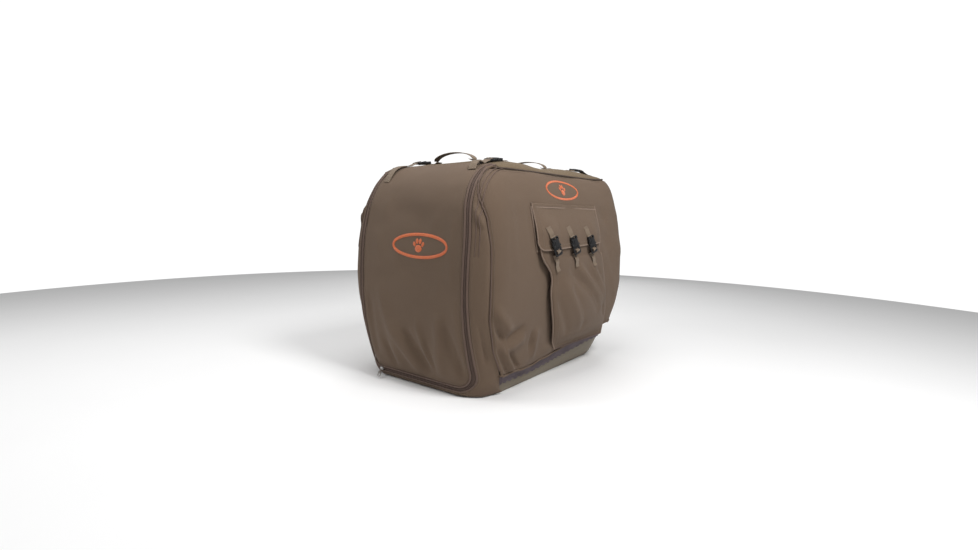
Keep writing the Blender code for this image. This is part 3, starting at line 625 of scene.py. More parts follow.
# The side's folds: start, end, width, height and skew, each taken deeper in front than behind
SIDE_FOLDS = (
    ((0.300, -0.440, 0.262), (0.305, -0.356, 0.177), 0.016, -0.0065, 0.35),
    ((0.300, -0.425, 0.290), (0.305, -0.335, 0.205), 0.020, 0.0060, 0.0),
    ((0.300, -0.352, 0.177), (0.305, -0.262, 0.212), 0.010, -0.0055, 0.45),
    ((0.300, -0.350, 0.150), (0.305, -0.255, 0.185), 0.020, 0.0065, 0.0),
    ((0.290, -0.398, 0.170), (0.280, -0.300, 0.040), 0.008, -0.0060, 0.3),
    ((0.290, -0.375, 0.180), (0.280, -0.270, 0.050), 0.010, 0.0060, 0.0),
    ((0.290, -0.340, 0.165), (0.280, -0.245, 0.060), 0.009, -0.0045, -0.3),
    ((0.300, -0.218, 0.200), (0.290, -0.212, 0.100), 0.009, -0.0045, 0.4),
    ((0.300, -0.195, 0.200), (0.290, -0.190, 0.090), 0.016, 0.0045, 0.0),
    ((0.300, -0.405, 0.450), (0.310, -0.255, 0.449), 0.005, -0.0012, 0.0),
    ((0.300, -0.290, 0.329), (0.310, -0.185, 0.336), 0.007, -0.0016, 0.2),
    ((0.300, -0.330, 0.690), (0.310, -0.332, 0.300), 0.010, 0.0009, 0.0),
    ((0.300, -0.245, 0.690), (0.310, -0.247, 0.240), 0.009, -0.0009, 0.0),
    ((0.300, 0.215, 0.600), (0.305, 0.345, 0.465), 0.024, -0.0050, 0.2),
    ((0.300, 0.235, 0.500), (0.305, 0.345, 0.330), 0.026, -0.0055, 0.2),
    ((0.300, 0.270, 0.560), (0.305, 0.400, 0.400), 0.028, 0.0050, 0.0),
    ((0.300, 0.255, 0.360), (0.305, 0.360, 0.210), 0.022, -0.0050, -0.2),
    ((0.300, 0.300, 0.620), (0.300, 0.400, 0.560), 0.020, 0.0035, 0.0),
    ((0.300, -0.130, 0.105), (0.300, 0.300, 0.140), 0.018, 0.0050, 0.0),
)


def side_panel(side):
    points = wall_grid(side)
    mirror = np.array([side, 1.0, 1.0])
    seen = points * mirror
    depth = common_lie(points)
    inner = ease(edge_distance(points), 0.0, 0.035)
    for fold in SIDE_FOLDS:
        share = FRONT_SHARE if fold[0][1] < FOLD_SPLIT_Y else REAR_SHARE
        depth = folded(depth, seen, [fold], share * inner)
    # the lower edge billows away from the crate
    billow = 0.6 * np.sin(seen[..., 1] * 34.0) * np.sin(seen[..., 1] * 13.0 + 1.0)
    low = ease(-seen[..., 2], -0.16, -0.075)
    depth = depth + 0.006 * low * (0.6 + billow)
    depth = depth + seam_dip(points)
    name = "right_panel" if side > 0 else "left_panel"
    points = relax(points, depth)
    keep_tree(name, points)
    made = grid_object(f"{name}_cloth", points, CANVAS, CLOTH)
    finish_piece(made, "cover", [name])


# The back's folds
BACK_FOLDS = (
    ((0.17, 0.45, 0.18), (0.26, 0.42, 0.09), 0.016, -0.0050, 0.3),
    ((-0.17, 0.45, 0.18), (-0.26, 0.42, 0.09), 0.016, -0.0050, 0.3),
    ((0.14, 0.45, 0.20), (0.22, 0.42, 0.08), 0.018, 0.0050, 0.0),
    ((-0.14, 0.45, 0.20), (-0.22, 0.42, 0.08), 0.018, 0.0050, 0.0),
    ((0.20, 0.46, 0.62), (0.22, 0.46, 0.45), 0.012, 0.0030, 0.0),
    ((-0.20, 0.46, 0.62), (-0.22, 0.46, 0.45), 0.012, 0.0030, 0.0),
    ((-0.18, 0.45, 0.16), (0.18, 0.45, 0.15), 0.020, 0.0030, 0.0),
)


def back_panel():
    v = np.linspace(0, 1, 84)[:, None]
    turn = np.linspace(REAR_TURN + 0.004, 8.996 - REAR_TURN, 96)[None, :]
    height = lower_edge(turn) + (ROOF_SEAM - lower_edge(turn)) * v
    points = ring(COVER_FINE, height, turn)
    depth = common_lie(points) + seam_dip(points)
    inner = ease(edge_distance(points), 0.0, 0.03)
    depth = folded(depth, points, BACK_FOLDS, inner)
    points = relax(points, depth)
    keep_tree("back_panel", points)
    made = grid_object("back_panel_cloth", points, CANVAS, CLOTH)
    finish_piece(made, "cover", ["back_panel"])


def roof_panel():
    rear = float(section(COVER_FINE, ROOF_SEAM)[2])
    v = 1 - (1 - np.linspace(0, 1, 90)) ** 1.25
    y = (HINGE_Y + 0.0055 + (rear - 0.0005 - HINGE_Y - 0.0055) * v)[:, None]
    half, front, rear_reach, radius = (float(value) for value in section(COVER_FINE, ROOF_SEAM))
    past = np.maximum(np.maximum(-y - (front - radius), y - (rear_reach - radius)), 0.0)
    edge = half - radius + np.sqrt(np.maximum(radius**2 - past**2, 0.0))
    across = np.sin(np.linspace(-math.pi / 2, math.pi / 2, 70))[None, :]
    across = 0.75 * across + 0.25 * np.linspace(-1, 1, 70)[None, :]
    x = edge * across
    start = np.stack([x, np.broadcast_to(y, x.shape), np.full(x.shape, 0.5)], axis=-1)
    points = shoot(start, (0, 0, 1))
    sag = 0.0035 * ripple(points, 21, 0.22) * ease(edge_distance(points), 0.0, 0.06)
    depth = common_lie(points) + seam_dip(points, 0.008, 0.0026) + np.minimum(sag, 0.0022)
    points = relax(points, depth)
    keep_tree("roof_panel", points)
    made = grid_object("roof_panel_cloth", points, CANVAS_TOP, CLOTH)
    finish_piece(made, "cover", ["roof_panel"])


# ---------------------------------------------------------------- door and its zipper
def door_half(level):
    return DOOR_HALF + (DOOR_HALF_TOP - DOOR_HALF) * ease(level, 0.45, 0.80)


def door_stations(dense=1):
    """Kinds, values and levels of half the door's outline, from the sill's middle to the roof."""
    kinds = []
    for x in np.linspace(0.0, DOOR_HALF - DOOR_CORNER, 12 * dense, endpoint=False):
        kinds.append(("sill", x))
    for angle in np.linspace(-90, 0, 8 * dense, endpoint=False):
        kinds.append(("corner", math.radians(angle)))
    for z in np.linspace(DOOR_SILL + DOOR_CORNER, DOOR_BEND, 44 * dense, endpoint=False):
        kinds.append(("side", z))
    for angle in np.linspace(0, DOOR_HINGE, 22 * dense):
        kinds.append(("bend", angle))
    return kinds


def door_rays(kinds, away=0.0):
    """Ray starts and directions for stations, moved away from the door by away."""
    starts, aims = [], []
    inner = DOOR_HALF - DOOR_CORNER
    for kind, value in kinds:
        tilt = 0.0
        if kind == "sill":
            edge, base = value, DOOR_SILL - away
        elif kind == "corner":
            reach = DOOR_CORNER + away
            edge = inner + reach * math.cos(value)
            base = DOOR_SILL + DOOR_CORNER + reach * math.sin(value)
        elif kind == "side":
            edge, base = door_half(value) + away, value
        else:
            edge = door_half(DOOR_BEND + 0.2 * value / DOOR_HINGE) + away
            base, tilt = DOOR_BEND, value
        starts.append((edge, FRONT_CORE, base))
        aims.append((0.0, -math.cos(tilt), math.sin(tilt)))
    return np.array(starts), np.array(aims)


def door_edge(away, dense=1, whole=True, lift=0.0):
    """The line round the door at a distance away from its edge, left hinge end to right."""
    starts, aims = door_rays(door_stations(dense), away)
    line = shoot(starts, aims) + aims * lift
    if not whole:
        return line
    return np.concatenate([line[:0:-1] * MIRROR, line])


# The door hangs in long soft folds that lean to its right towards the sill
DOOR_SHARE = 1.9
DOOR_FOLDS = (
    ((-0.150, -0.46, 0.330), (-0.060, -0.44, 0.050), 0.026, 0.0050, 0.2),
    ((-0.100, -0.46, 0.200), (0.030, -0.44, 0.045), 0.024, 0.0065, 0.3),
    ((-0.035, -0.46, 0.190), (0.072, -0.44, 0.055), 0.017, -0.0070, 0.3),
    ((0.030, -0.46, 0.230), (0.085, -0.44, 0.075), 0.013, 0.0050, -0.2),
    ((0.062, -0.46, 0.170), (0.098, -0.44, 0.070), 0.007, -0.0028, 0.0),
    ((0.020, -0.45, 0.075), (0.040, -0.44, 0.030), 0.006, -0.0035, 0.0),
    ((0.130, -0.46, 0.260), (0.118, -0.44, 0.045), 0.024, 0.0060, 0.0),
    ((0.135, -0.46, 0.240), (0.210, -0.43, 0.060), 0.021, -0.0070, 0.25),
    ((0.190, -0.46, 0.300), (0.222, -0.42, 0.085), 0.014, 0.0045, 0.0),
    ((-0.195, -0.46, 0.300), (-0.180, -0.44, 0.060), 0.018, -0.0045, 0.0),
    ((-0.140, -0.45, 0.150), (-0.090, -0.44, 0.040), 0.014, -0.0040, 0.2),
    ((-0.120, -0.46, 0.600), (0.090, -0.46, 0.520), 0.040, -0.0025, 0.0),
    ((-0.150, -0.46, 0.520), (-0.140, -0.46, 0.360), 0.040, 0.0022, 0.0),
    ((0.170, -0.46, 0.560), (0.180, -0.46, 0.330), 0.018, 0.0022, 0.0),
    ((-0.060, -0.46, 0.420), (0.120, -0.46, 0.330), 0.030, -0.0022, 0.0),
)


def door_panel():
    kinds = [station for station in door_stations() if station[0] != "sill"]
    starts, aims = door_rays(kinds)
    across = np.linspace(-1, 1, 76)
    across = 0.6 * across + 0.4 * np.sin(across * math.pi / 2)
    grid = starts[:, None, :] * np.stack([across, np.ones(76), np.ones(76)], axis=-1)[None, :, :]
    points = shoot(grid, np.broadcast_to(aims[:, None, :], grid.shape))
    inner = ease(edge_distance(points), 0.0, 0.035)
    upper = ease(points[..., 2], 0.60, 0.70)
    folds = folded(np.zeros(points.shape[:-1]), points, DOOR_FOLDS, DOOR_SHARE)
    depth = common_lie(points) + inner * folds * (1 - upper)
    depth = depth + seam_dip(points, 0.006, 0.0014)
    points = relax(points, depth)
    keep_tree("door_panel", points)
    made = grid_object("door_panel_cloth", points, CANVAS, CLOTH)
    finish_piece(made, "door_flap", ["door_panel"])


# sides and squareness of flat webbing
FLAT = (20, 0.32)


def sweep(name, line, outward, wide, deep, look, sides=10, square=1.0, under=None):
    """A cord, piping or strap along a line: wide across, deep outward, closed at both ends."""
    line = np.asarray(line, float)
    outward = np.broadcast_to(np.asarray(outward, float), line.shape)
    ahead = np.gradient(line, axis=0)
    ahead /= np.maximum(np.linalg.norm(ahead, axis=-1, keepdims=True), 1e-9)
    outward = outward - ahead * (outward * ahead).sum(-1, keepdims=True)
    outward = outward / np.maximum(np.linalg.norm(outward, axis=-1, keepdims=True), 1e-9)
    across = np.cross(ahead, outward)
    wide = np.broadcast_to(np.asarray(wide, float), (len(line),))[:, None, None]
    deep = np.broadcast_to(np.asarray(deep, float), (len(line),))[:, None, None]
    angle = np.linspace(0, 2 * math.pi, sides, endpoint=False)
    along_x = np.sign(np.cos(angle)) * np.abs(np.cos(angle)) ** square
    along_z = np.sign(np.sin(angle)) * np.abs(np.sin(angle)) ** square
    points = (line[:, None, :] + wide * along_x[None, :, None] * across[:, None, :]
              + deep * along_z[None, :, None] * outward[:, None, :])
    made = grid_object(name, points, look, closed=True)
    mesh = made.data
    work = bmesh.new()
    work.from_mesh(mesh)
    work.verts.ensure_lookup_table()
    last = len(line) - 1
    work.faces.new([work.verts[k] for k in range(sides)])
    work.faces.new([work.verts[last * sides + k] for k in range(sides)])
    bmesh.ops.recalc_face_normals(work, faces=work.faces)
    work.to_mesh(mesh)
    work.free()
    mesh.shade_smooth()
    mesh.set_sharp_from_angle(angle=math.radians(50))
    # faces turned away from the outward side take the under look, which the straps use for painted shade on
    # their undersides
    if under is not None:
        mesh.materials.append(under)
        faces = len(line) - 1
        for number, face in enumerate(mesh.polygons):
            row = min(number // sides, faces)
            if face.normal.dot(Vector(outward[row])) < -0.5:
                face.material_index = 1
    return made


def trim(name, line, outward, wide, deep, look=BINDING, body="cover"):
    """A swept binding or piping, finished as part of the canvas."""
    return finish_piece(sweep(name, line, outward, wide, deep, look), body)


def outward_of(line):
    return np.asarray(line) - np.array(CENTRE)


def stitches(name, line, outward, body, look=None, pitch=0.0052, long=0.0036, thick=0.00055):
    """A row of separate stitches along a line on the cloth."""
    line = np.asarray(line, float)
    outward = np.broadcast_to(np.asarray(outward, float), line.shape)
    run = lengths(line[:, None, :], 0)[:, 0]
    count = max(int(run[-1] / pitch), 1)
    middle = (np.arange(count) + 0.5) * run[-1] / count

    def at(place, values):
        return np.stack([np.interp(place, run, values[:, k]) for k in range(3)], axis=-1)

    first, last = at(middle - long / 2, line), at(middle + long / 2, line)
    lift = at(middle, outward)
    lift /= np.maximum(np.linalg.norm(lift, axis=-1, keepdims=True), 1e-9)
    ahead = (last - first) / np.maximum(np.linalg.norm(last - first, axis=-1, keepdims=True), 1e-9)
    across = np.cross(ahead, lift)
    corners, faces = [], []
    for k in range(count):
        base = len(corners)
        for where, size in ((0.12, 0.7), (0.5, 1.0), (0.88, 0.7)):
            centre = first[k] + (last[k] - first[k]) * where
            for angle in (0.0, 1.5708, 3.1416, 4.7124):
                way = across[k] * math.cos(angle) + lift[k] * math.sin(angle)
                corners.append(centre + size * thick * way)
        corners.extend((first[k], last[k]))
        for ring_of in (0, 4):
            for side in range(4):
                after = (side + 1) % 4
                faces.append((base + ring_of + side, base + ring_of + after,
                              base + ring_of + 4 + after, base + ring_of + 4 + side))
        for side in range(4):
            after = (side + 1) % 4
            faces.append((base + 12, base + after, base + side))
            faces.append((base + 13, base + 8 + side, base + 8 + after))
    mesh = bpy.data.meshes.new(name)
    mesh.from_pydata([tuple(corner) for corner in corners], [], faces)
    keep_cloth(mesh, np.zeros(len(corners)), np.arange(len(corners)) * 0.0001)
    mesh.shade_smooth()
    return finish_piece(new_object(name, mesh, look or THREAD), body)


def strip(name, lines, look, thick=0.0012):
    points = np.stack([np.asarray(line, float) for line in lines], axis=1)
    return grid_object(name, points, look, thick)


def zipper():
    """Tapes, coil and the bound edges on both sides of the zipper."""
    near = door_edge(0.0011, 2, lift=-0.0004)
    middle = door_edge(ZIP_GAP / 2 - 0.0004, 2, lift=-0.0002)
    tape = strip("door_zip_tape", [near, middle], TAPE)
    finish_piece(tape, "door_flap", ["zipper_door_side"])
    middle = door_edge(ZIP_GAP / 2 + 0.0004, 2, lift=-0.0002)
    far = door_edge(ZIP_GAP - 0.0008, 2, lift=-0.0004)
    tape = strip("frame_zip_tape", [middle, far], TAPE)
    finish_piece(tape, "cover", ["zipper_frame_side"])
    for name, away, body in (("zip_coil_door", ZIP_GAP / 2 - 0.0012, "door_flap"),
                             ("zip_coil_frame", ZIP_GAP / 2 + 0.0014, "cover")):
        line = door_edge(away, 3, lift=0.0006)
        finish_piece(sweep(name, line, outward_of(line), 0.0013, 0.0013, TAPE, 8), body)
    for name, away, body in (("door_binding", -0.0022, "door_flap"),
                             ("frame_binding", ZIP_GAP + 0.0024, "cover")):
        line = door_edge(away, 2, lift=0.0008)
        trim(name, line, outward_of(line), 0.0036, 0.0026, body=body)
    line = door_edge(-0.0095, 2, lift=0.0009)
    stitches("door_topstitch", line, outward_of(line), "door_flap")
    line = door_edge(ZIP_GAP + 0.0090, 2, lift=0.0009)
    stitches("frame_topstitch", line, outward_of(line), "cover")


GUSSET_SHARE = 1.8
# The gusset's folds
GUSSET_FOLDS = (
    ((0.255, -0.44, 0.620), (0.295, -0.41, 0.520), 0.008, -0.0055, 0.3),
    ((0.235, -0.45, 0.600), (0.270, -0.43, 0.520), 0.010, 0.0045, 0.0),
    ((0.275, -0.43, 0.280), (0.290, -0.37, 0.120), 0.010, 0.0050, 0.0),
    ((0.255, -0.44, 0.250), (0.265, -0.40, 0.110), 0.009, -0.0055, 0.3),
    ((0.230, -0.40, 0.680), (0.215, -0.34, 0.710), 0.006, 0.0030, 0.0),
)


def gusset(side):
    """The strip between the zipper and the front corner seam."""
    kinds = [station for station in door_stations(2) if station[0] != "sill"]
    starts, aims = door_rays(kinds, ZIP_GAP + 0.0006)
    inner = shoot(starts, aims)
    start = DOOR_HALF - DOOR_CORNER
    hem_x = np.linspace(start, start + 0.065, 16)
    hem = shoot(np.stack([hem_x, np.full(16, FRONT_CORE), np.full(16, 0.004)], axis=-1), (0, -1, 0))
    rest = len(inner) - 16 - 22
    heights = np.linspace(0.004, ROOF_SEAM, rest)
    rise = ring(COVER_FINE, heights, seam_turn(heights))
    _, front, _, radius = (float(value) for value in section(COVER_FINE, ROOF_SEAM))
    last = 1.0 + math.acos(min((-HINGE_Y - 0.003 - front + radius) / radius, 1.0)) / (math.pi / 2)
    crown = ring(COVER_FINE, ROOF_SEAM, np.linspace(float(seam_turn(ROOF_SEAM)), last, 23)[1:])
    outer = np.concatenate([hem, rise, crown])
    u = np.linspace(0, 1, 22)[None, :, None]
    guess = inner[:, None, :] * (1 - u) + outer[:, None, :] * u
    base = np.stack([np.full(guess.shape[:2], 0.12), np.full(guess.shape[:2], -0.24),
                     np.minimum(guess[..., 2], DOOR_BEND)], axis=-1)
    points = shoot(base, guess - base)
    depth = common_lie(points * np.array([side, 1.0, 1.0]))
    middle = ease(edge_distance(points), 0.0, 0.02)
    level = points[..., 2]
    belly = ease(level, 0.28, 0.36) * (1 - ease(level, 0.50, 0.60))
    foot = 0.0050 * (1 - ease(level, 0.10, 0.26)) * ease(level, 0.03, 0.07)
    depth = depth + middle * (0.0035 * belly - foot)
    depth = folded(depth, points, GUSSET_FOLDS, GUSSET_SHARE * middle)
    depth = depth + seam_dip(points, 0.006, 0.0026)
    points = relax(points, depth)
    if side < 0:
        points = points * MIRROR
    name = "corner_gusset_right" if side > 0 else "corner_gusset_left"
    keep_tree(name, points)
    made = grid_object(f"{name}_cloth", points, CANVAS, CLOTH)
    finish_piece(made, "cover", [name])


def front_sill():
    half = DOOR_HALF - DOOR_CORNER
    x = np.linspace(-half, half, 60)[None, :]
    z = np.linspace(0.004, DOOR_SILL - ZIP_GAP - 0.0006, 8)[:, None]
    x, z = np.broadcast_arrays(x, z)
    points = shoot(np.stack([x, np.full(x.shape, FRONT_CORE), z], axis=-1), (0, -1, 0))
    made = grid_object("front_sill_cloth", relax(points, seam_dip(points, 0.003, 0.0010)), CANVAS, CLOTH)
    finish_piece(made, "cover", ["front_sill"])


def hem_band():
    """The elastic hem, gathered into small pleats where it grips the crate."""
    turn = np.linspace(1.84, 9.0 - 1.84, 1100)[None, :]
    v = np.linspace(0, 1, 12)[:, None]
    rise = 0.6 * (lower_edge(turn) - SIDE_HEM)
    height = 0.034 + rise + 0.034 * v
    run = lengths(ring(CRATE_FINE, 0.05, turn), 1)
    pleat = np.sin(run * 2 * math.pi / 0.0085 + 1.3 * np.sin(run * 41.0))
    pleat = pleat * (0.7 + 0.3 * np.sin(run * 63.0))
    swell = np.sin(math.pi * np.clip(v, 0.02, 1)) ** 0.6
    out = 0.0046 + 0.0026 * pleat * (0.35 + 0.65 * np.abs(2 * v - 0.9)) + 0.0012 * swell
    height = height + 0.0030 * np.sin(run * 2 * math.pi / 0.031 + 2 * np.sin(run * 17.0)) * (1 - v)
    points = ring(CRATE_FINE, height, turn, out)
    made = grid_object("hem_gathers", points, ELASTIC, 0.0012)
    finish_piece(made, "cover", ["hem_elastic"])


# ---------------------------------------------------------------- seams and edges
def seams():
    """Raised seams, with stitches beside those at the front corners and along the roof's edge."""
    heights = np.linspace(0.085, ROOF_SEAM - 0.002, 120)
    for side, label in ((1, "right"), (-1, "left")):
        mirror = np.array([side, 1.0, 1.0])
        line = ring(COVER_FINE, heights, seam_turn(heights), 0.0004) * mirror
        trim(f"front_seam_{label}", line, outward_of(line), 0.0022, 0.0018)
        line = ring(COVER_FINE, heights, seam_turn(heights) + 0.055, 0.0010) * mirror
        stitches(f"front_seam_stitch_{label}", line, outward_of(line), "cover")
        heights_rear = np.linspace(0.145, ROOF_SEAM - 0.002, 90)
        line = ring(COVER_FINE, heights_rear, np.full(90, REAR_TURN), 0.0003) * mirror
        trim(f"rear_seam_{label}", line, outward_of(line), 0.0022, 0.0018)
    turn = np.linspace(1.44, 9.0 - 1.44, 420)
    line = ring(COVER_FINE, np.full(420, ROOF_SEAM + 0.0005), turn, 0.0002)
    trim("roof_piping", line, outward_of(line), 0.0030, 0.0026, BINDING_DARK)
    line = ring(COVER_FINE, np.full(420, ROOF_SEAM - 0.0085), turn, 0.0010)
    stitches("roof_stitch", line, outward_of(line), "cover")


def corner_pipings():
    """Piping that sweeps from the roof down beside the zipper at each front corner."""
    for side, label in ((1, "right"), (-1, "left")):
        for number, away in enumerate((0.021, 0.031)):
            kinds = [station for station in door_stations(2) if station[0] == "bend"
                     or (station[0] == "side" and station[1] > 0.44)]
            starts, aims = door_rays(kinds, ZIP_GAP + away)
            mirror = np.array([side, 1.0, 1.0])
            cloths = [f"corner_gusset_{label}", "roof_panel"]
            line, normal = land_line(cloths, starts * mirror, aims, 0.0006)
            fade = np.sin(np.linspace(0.12, math.pi - 0.12, len(line))) ** 0.4
            trim(f"corner_piping_{label}_{number + 1}", line, normal, 0.0020 * fade, 0.0019 * fade)


def hem_bindings():
    """The side and back panels end in a folded hem with a stitch line above it."""
    turn = np.linspace(1.90, 9.0 - 1.90, 620)
    line = ring(COVER_FINE, lower_edge(turn) + 0.0012, turn, 0.0002)
    starts = np.stack([line[:, 0] * 0.6, line[:, 1] * 0.6, line[:, 2] + 0.004], axis=-1)
    laid, normal = land_line(["right_panel", "left_panel", "back_panel"], starts,
                             (line - starts) * np.array([1.0, 1.0, 0.0]), 0.0)
    laid[:, 2] -= 0.0040
    laid[:, 2] += 0.0022 * np.sin(np.linspace(0, 210, 620)) * np.sin(np.linspace(0, 61, 620))
    trim("panel_hem", laid, normal, 0.0042, 0.0024, CANVAS)
    starts[:, 2] += 0.010
    laid, normal = land_line(["right_panel", "left_panel", "back_panel"], starts,
                             (line - starts) * np.array([1.0, 1.0, 0.0]), 0.0003)
    stitches("panel_hem_stitch", laid, normal, "cover")


# ---------------------------------------------------------------- embroidered badges
PAW_FOR_OVAL = 0.068
# centre, half width, half height and lean of the pad and the four toes
PAW = ((0.000, -0.0075, 0.0125, 0.0098, 0.0), (-0.0155, 0.0040, 0.0048, 0.0068, 0.45),
       (-0.0056, 0.0118, 0.0050, 0.0075, 0.12), (0.0056, 0.0118, 0.0050, 0.0075, -0.12),
       (0.0155, 0.0040, 0.0048, 0.0068, -0.45))


def badge(name, tree, body, start, aim, size, node, shift):
    """A satin-stitched oval ring round a plain paw print, sewn straight on the cloth."""
    aim = Vector(aim)
    across = Vector((1, 0, 0)) if abs(aim.y) > 0.5 else Vector((0, 1, 0))
    up = Vector((0, 0, 1))
    start = Vector(start)

    def on_cloth(x, y, out):
        return land([tree], start + across * x + up * y, aim, out)

    long, high = size
    band = 0.0096 if high > 0.075 else 0.0074
    turn = np.linspace(0, 2 * math.pi, 721)
    reach_x, reach_y = (long - band) / 2, (high - band) / 2
    found = [on_cloth(reach_x * math.cos(t), reach_y * math.sin(t), 0.0004) for t in turn]
    line = np.array([tuple(place) for place, _ in found])
    normal = np.array([tuple(way) for _, way in found])
    thread = 0.0011 * (1 + 0.22 * np.sin(turn * 180))
    wide = band / 2 * (1 + 0.03 * np.sin(turn * 97))
    ring_piece = sweep(f"{name}_ring", line, normal, wide, thread, ORANGE, 8, 0.8)
    finish_piece(ring_piece, body, [node])
    scale = high / PAW_FOR_OVAL
    for number, (x, y, wide, tall, lean) in enumerate(PAW, 1):
        radii = np.linspace(0.0, 1.0, 7)[:, None]
        spin = np.linspace(0, 2 * math.pi, 41)[None, :-1]
        radii, spin = np.broadcast_arrays(radii, spin)
        flat_x, flat_y = radii * wide * np.cos(spin), radii * tall * np.sin(spin)
        px = shift + scale * (x + flat_x * math.cos(lean) - flat_y * math.sin(lean))
        py = scale * (y + flat_x * math.sin(lean) + flat_y * math.cos(lean))
        rise = 0.0014 * np.sqrt(np.maximum(1 - radii**2, 0.0)) + 0.00022 * np.sin(px * 5200.0)
        points = np.array([[tuple(on_cloth(px[i, j], py[i, j], rise[i, j] + 0.0002)[0])
                            for j in range(px.shape[1])] for i in range(px.shape[0])])
        points[0] = points[0].mean(axis=0)
        made = grid_object(f"{name}_paw_{number}", points, ORANGE, closed=True)
        weld = bmesh.new()
        weld.from_mesh(made.data)
        bmesh.ops.remove_doubles(weld, verts=weld.verts, dist=0.00002)
        bmesh.ops.recalc_face_normals(weld, faces=weld.faces)
        weld.to_mesh(made.data)
        weld.free()
        middle = made.data.polygons[0]
        if middle.normal.dot(aim) < 0:
            made.data.flip_normals()
        thicken(made, 0.0006)
        finish_piece(made, body)


def badges():
    badge("front_emblem", "door_panel", "door_flap", (0.043, -0.20, 0.460), (0, -1, 0), (0.244, 0.080),
          "front_badge", -0.004)
    badge("side_emblem", "right_panel", "cover", (0.10, -0.010, 0.648), (1, 0, 0), (0.214, 0.068),
          "side_badge", 0.002)


# ---------------------------------------------------------------- hard pieces
def fillet(outline, radius, steps=4):
    """Round every corner of an outline with a short curve."""
    rounded = []
    count = len(outline)
    for k in range(count):
        before, here, after = (Vector(outline[(k + d) % count]) for d in (-1, 0, 1))
        first = here + (before - here).normalized() * min(radius, (before - here).length * 0.45)
        last = here + (after - here).normalized() * min(radius, (after - here).length * 0.45)
        for step in range(steps + 1):
            t = step / steps
            rounded.append(tuple(first * (1 - t) ** 2 + here * 2 * t * (1 - t) + last * t**2))
    return rounded


def hard(name, parts, place, look, body, replaced=()):
    """Bevelled flat shapes, each given by its outlines, low and high faces and bevel, as one piece."""
    whole = bmesh.new()
    for outlines, low, high, bevel in parts:
        curve = bpy.data.curves.new(name, "CURVE")
        curve.dimensions = "2D"
        curve.fill_mode = "BOTH"
        curve.extrude = (high - low) / 2 - bevel
        curve.bevel_depth = bevel
        curve.bevel_resolution = 2
        curve.offset = -bevel
        for outline in outlines:
            line = curve.splines.new("POLY")
            line.points.add(len(outline) - 1)
            line.use_cyclic_u = True
            for point, (x, y) in zip(line.points, outline):
                point.co = (x, y, 0.0, 1.0)
        shape = bpy.data.objects.new(name, curve)
        bpy.context.scene.collection.objects.link(shape)
        bpy.context.view_layer.update()
        mesh = bpy.data.meshes.new_from_object(shape.evaluated_get(bpy.context.evaluated_depsgraph_get()))
        mesh.transform(Matrix.Translation((0, 0, (low + high) / 2)))
        whole.from_mesh(mesh)
        bpy.data.objects.remove(shape)
        bpy.data.meshes.remove(mesh)
    bmesh.ops.remove_doubles(whole, verts=whole.verts, dist=0.00001)
    mesh = bpy.data.meshes.new(name)
    whole.to_mesh(mesh)
    whole.free()
    mesh.materials.clear()
    mesh.transform(place)
    mesh.shade_smooth()
    mesh.set_sharp_from_angle(angle=math.radians(40))
    return finish_piece(new_object(name, mesh, look), body, replaced)


def frame_at(origin, along, outward):
    along = Vector(along).normalized()
    outward = Vector(outward)
    outward = (outward - along * outward.dot(along)).normalized()
    across = along.cross(outward)
    return Matrix.Translation(origin) @ Matrix((across, along, outward)).transposed().to_4x4()


SOCKET = 0.034


def mirror_outline(points):
    return points + [(-x, y) for x, y in points[::-1]]


def socket_piece(name, place, body, node):
    """Female half: a waisted shell with open side windows, a webbing slot and a raised rib."""
    outer = mirror_outline([(0.0150, -0.0340), (0.0174, -0.0235), (0.0138, -0.0218), (0.0138, -0.0082),
                            (0.0185, -0.0070), (0.0185, -0.0006)])
    slot_hole = [(-0.0130, -0.0312), (0.0130, -0.0312), (0.0130, -0.0268), (-0.0130, -0.0268)]
    rib = mirror_outline([(0.0062, -0.0225), (0.0085, -0.0100), (0.0085, -0.0035)])
    lip = mirror_outline([(0.0178, -0.0058), (0.0178, -0.0012)])
    hard(name, [([fillet(outer, 0.0022), fillet(slot_hole, 0.0008)], 0.0002, 0.0088, 0.0011),
                ([fillet(rib, 0.0025)], 0.0080, 0.0102, 0.0007),
                ([fillet(lip, 0.0012)], 0.0080, 0.0098, 0.0006)],
         place, BLACK, body, [node])


def plug_piece(name, place, body, node):
    """Male half: two sprung arms whose thumb pads fill the windows, a guide, and a ladder for webbing."""
    outer = mirror_outline([(0.0018, -0.0160), (0.0024, 0.0004), (0.0110, 0.0004), (0.0126, -0.0060),
                            (0.0141, -0.0190), (0.0152, -0.0208), (0.0175, -0.0200), (0.0184, -0.0096),
                            (0.0166, -0.0072), (0.0160, 0.0012), (0.0185, 0.0014), (0.0185, 0.0195),
                            (0.0156, 0.0278)])
    holes = [[(-0.0130, low), (0.0130, low), (0.0130, low + 0.0040), (-0.0130, low + 0.0040)]
             for low in (0.0080, 0.0165)]
    bars = [[(-0.0150, low), (0.0150, low), (0.0150, low + 0.0022), (-0.0150, low + 0.0022)]
            for low in (0.0040, 0.0132, 0.0222)]
    parts = [([fillet(outer, 0.0013)] + [fillet(hole, 0.0007) for hole in holes], 0.0016, 0.0062, 0.0009)]
    parts += [([fillet(bar, 0.0008)], 0.0056, 0.0078, 0.0007) for bar in bars]
    hard(name, parts, place, BLACK, body, [node])


def strap(name, line, outward, body, node=None, width=0.0245, thick=0.0017):
    """Flat webbing on a line."""
    made = sweep(name, line, outward, width / 2, thick / 2, WEB, *FLAT)
    return finish_piece(made, body, [node] if node else ())


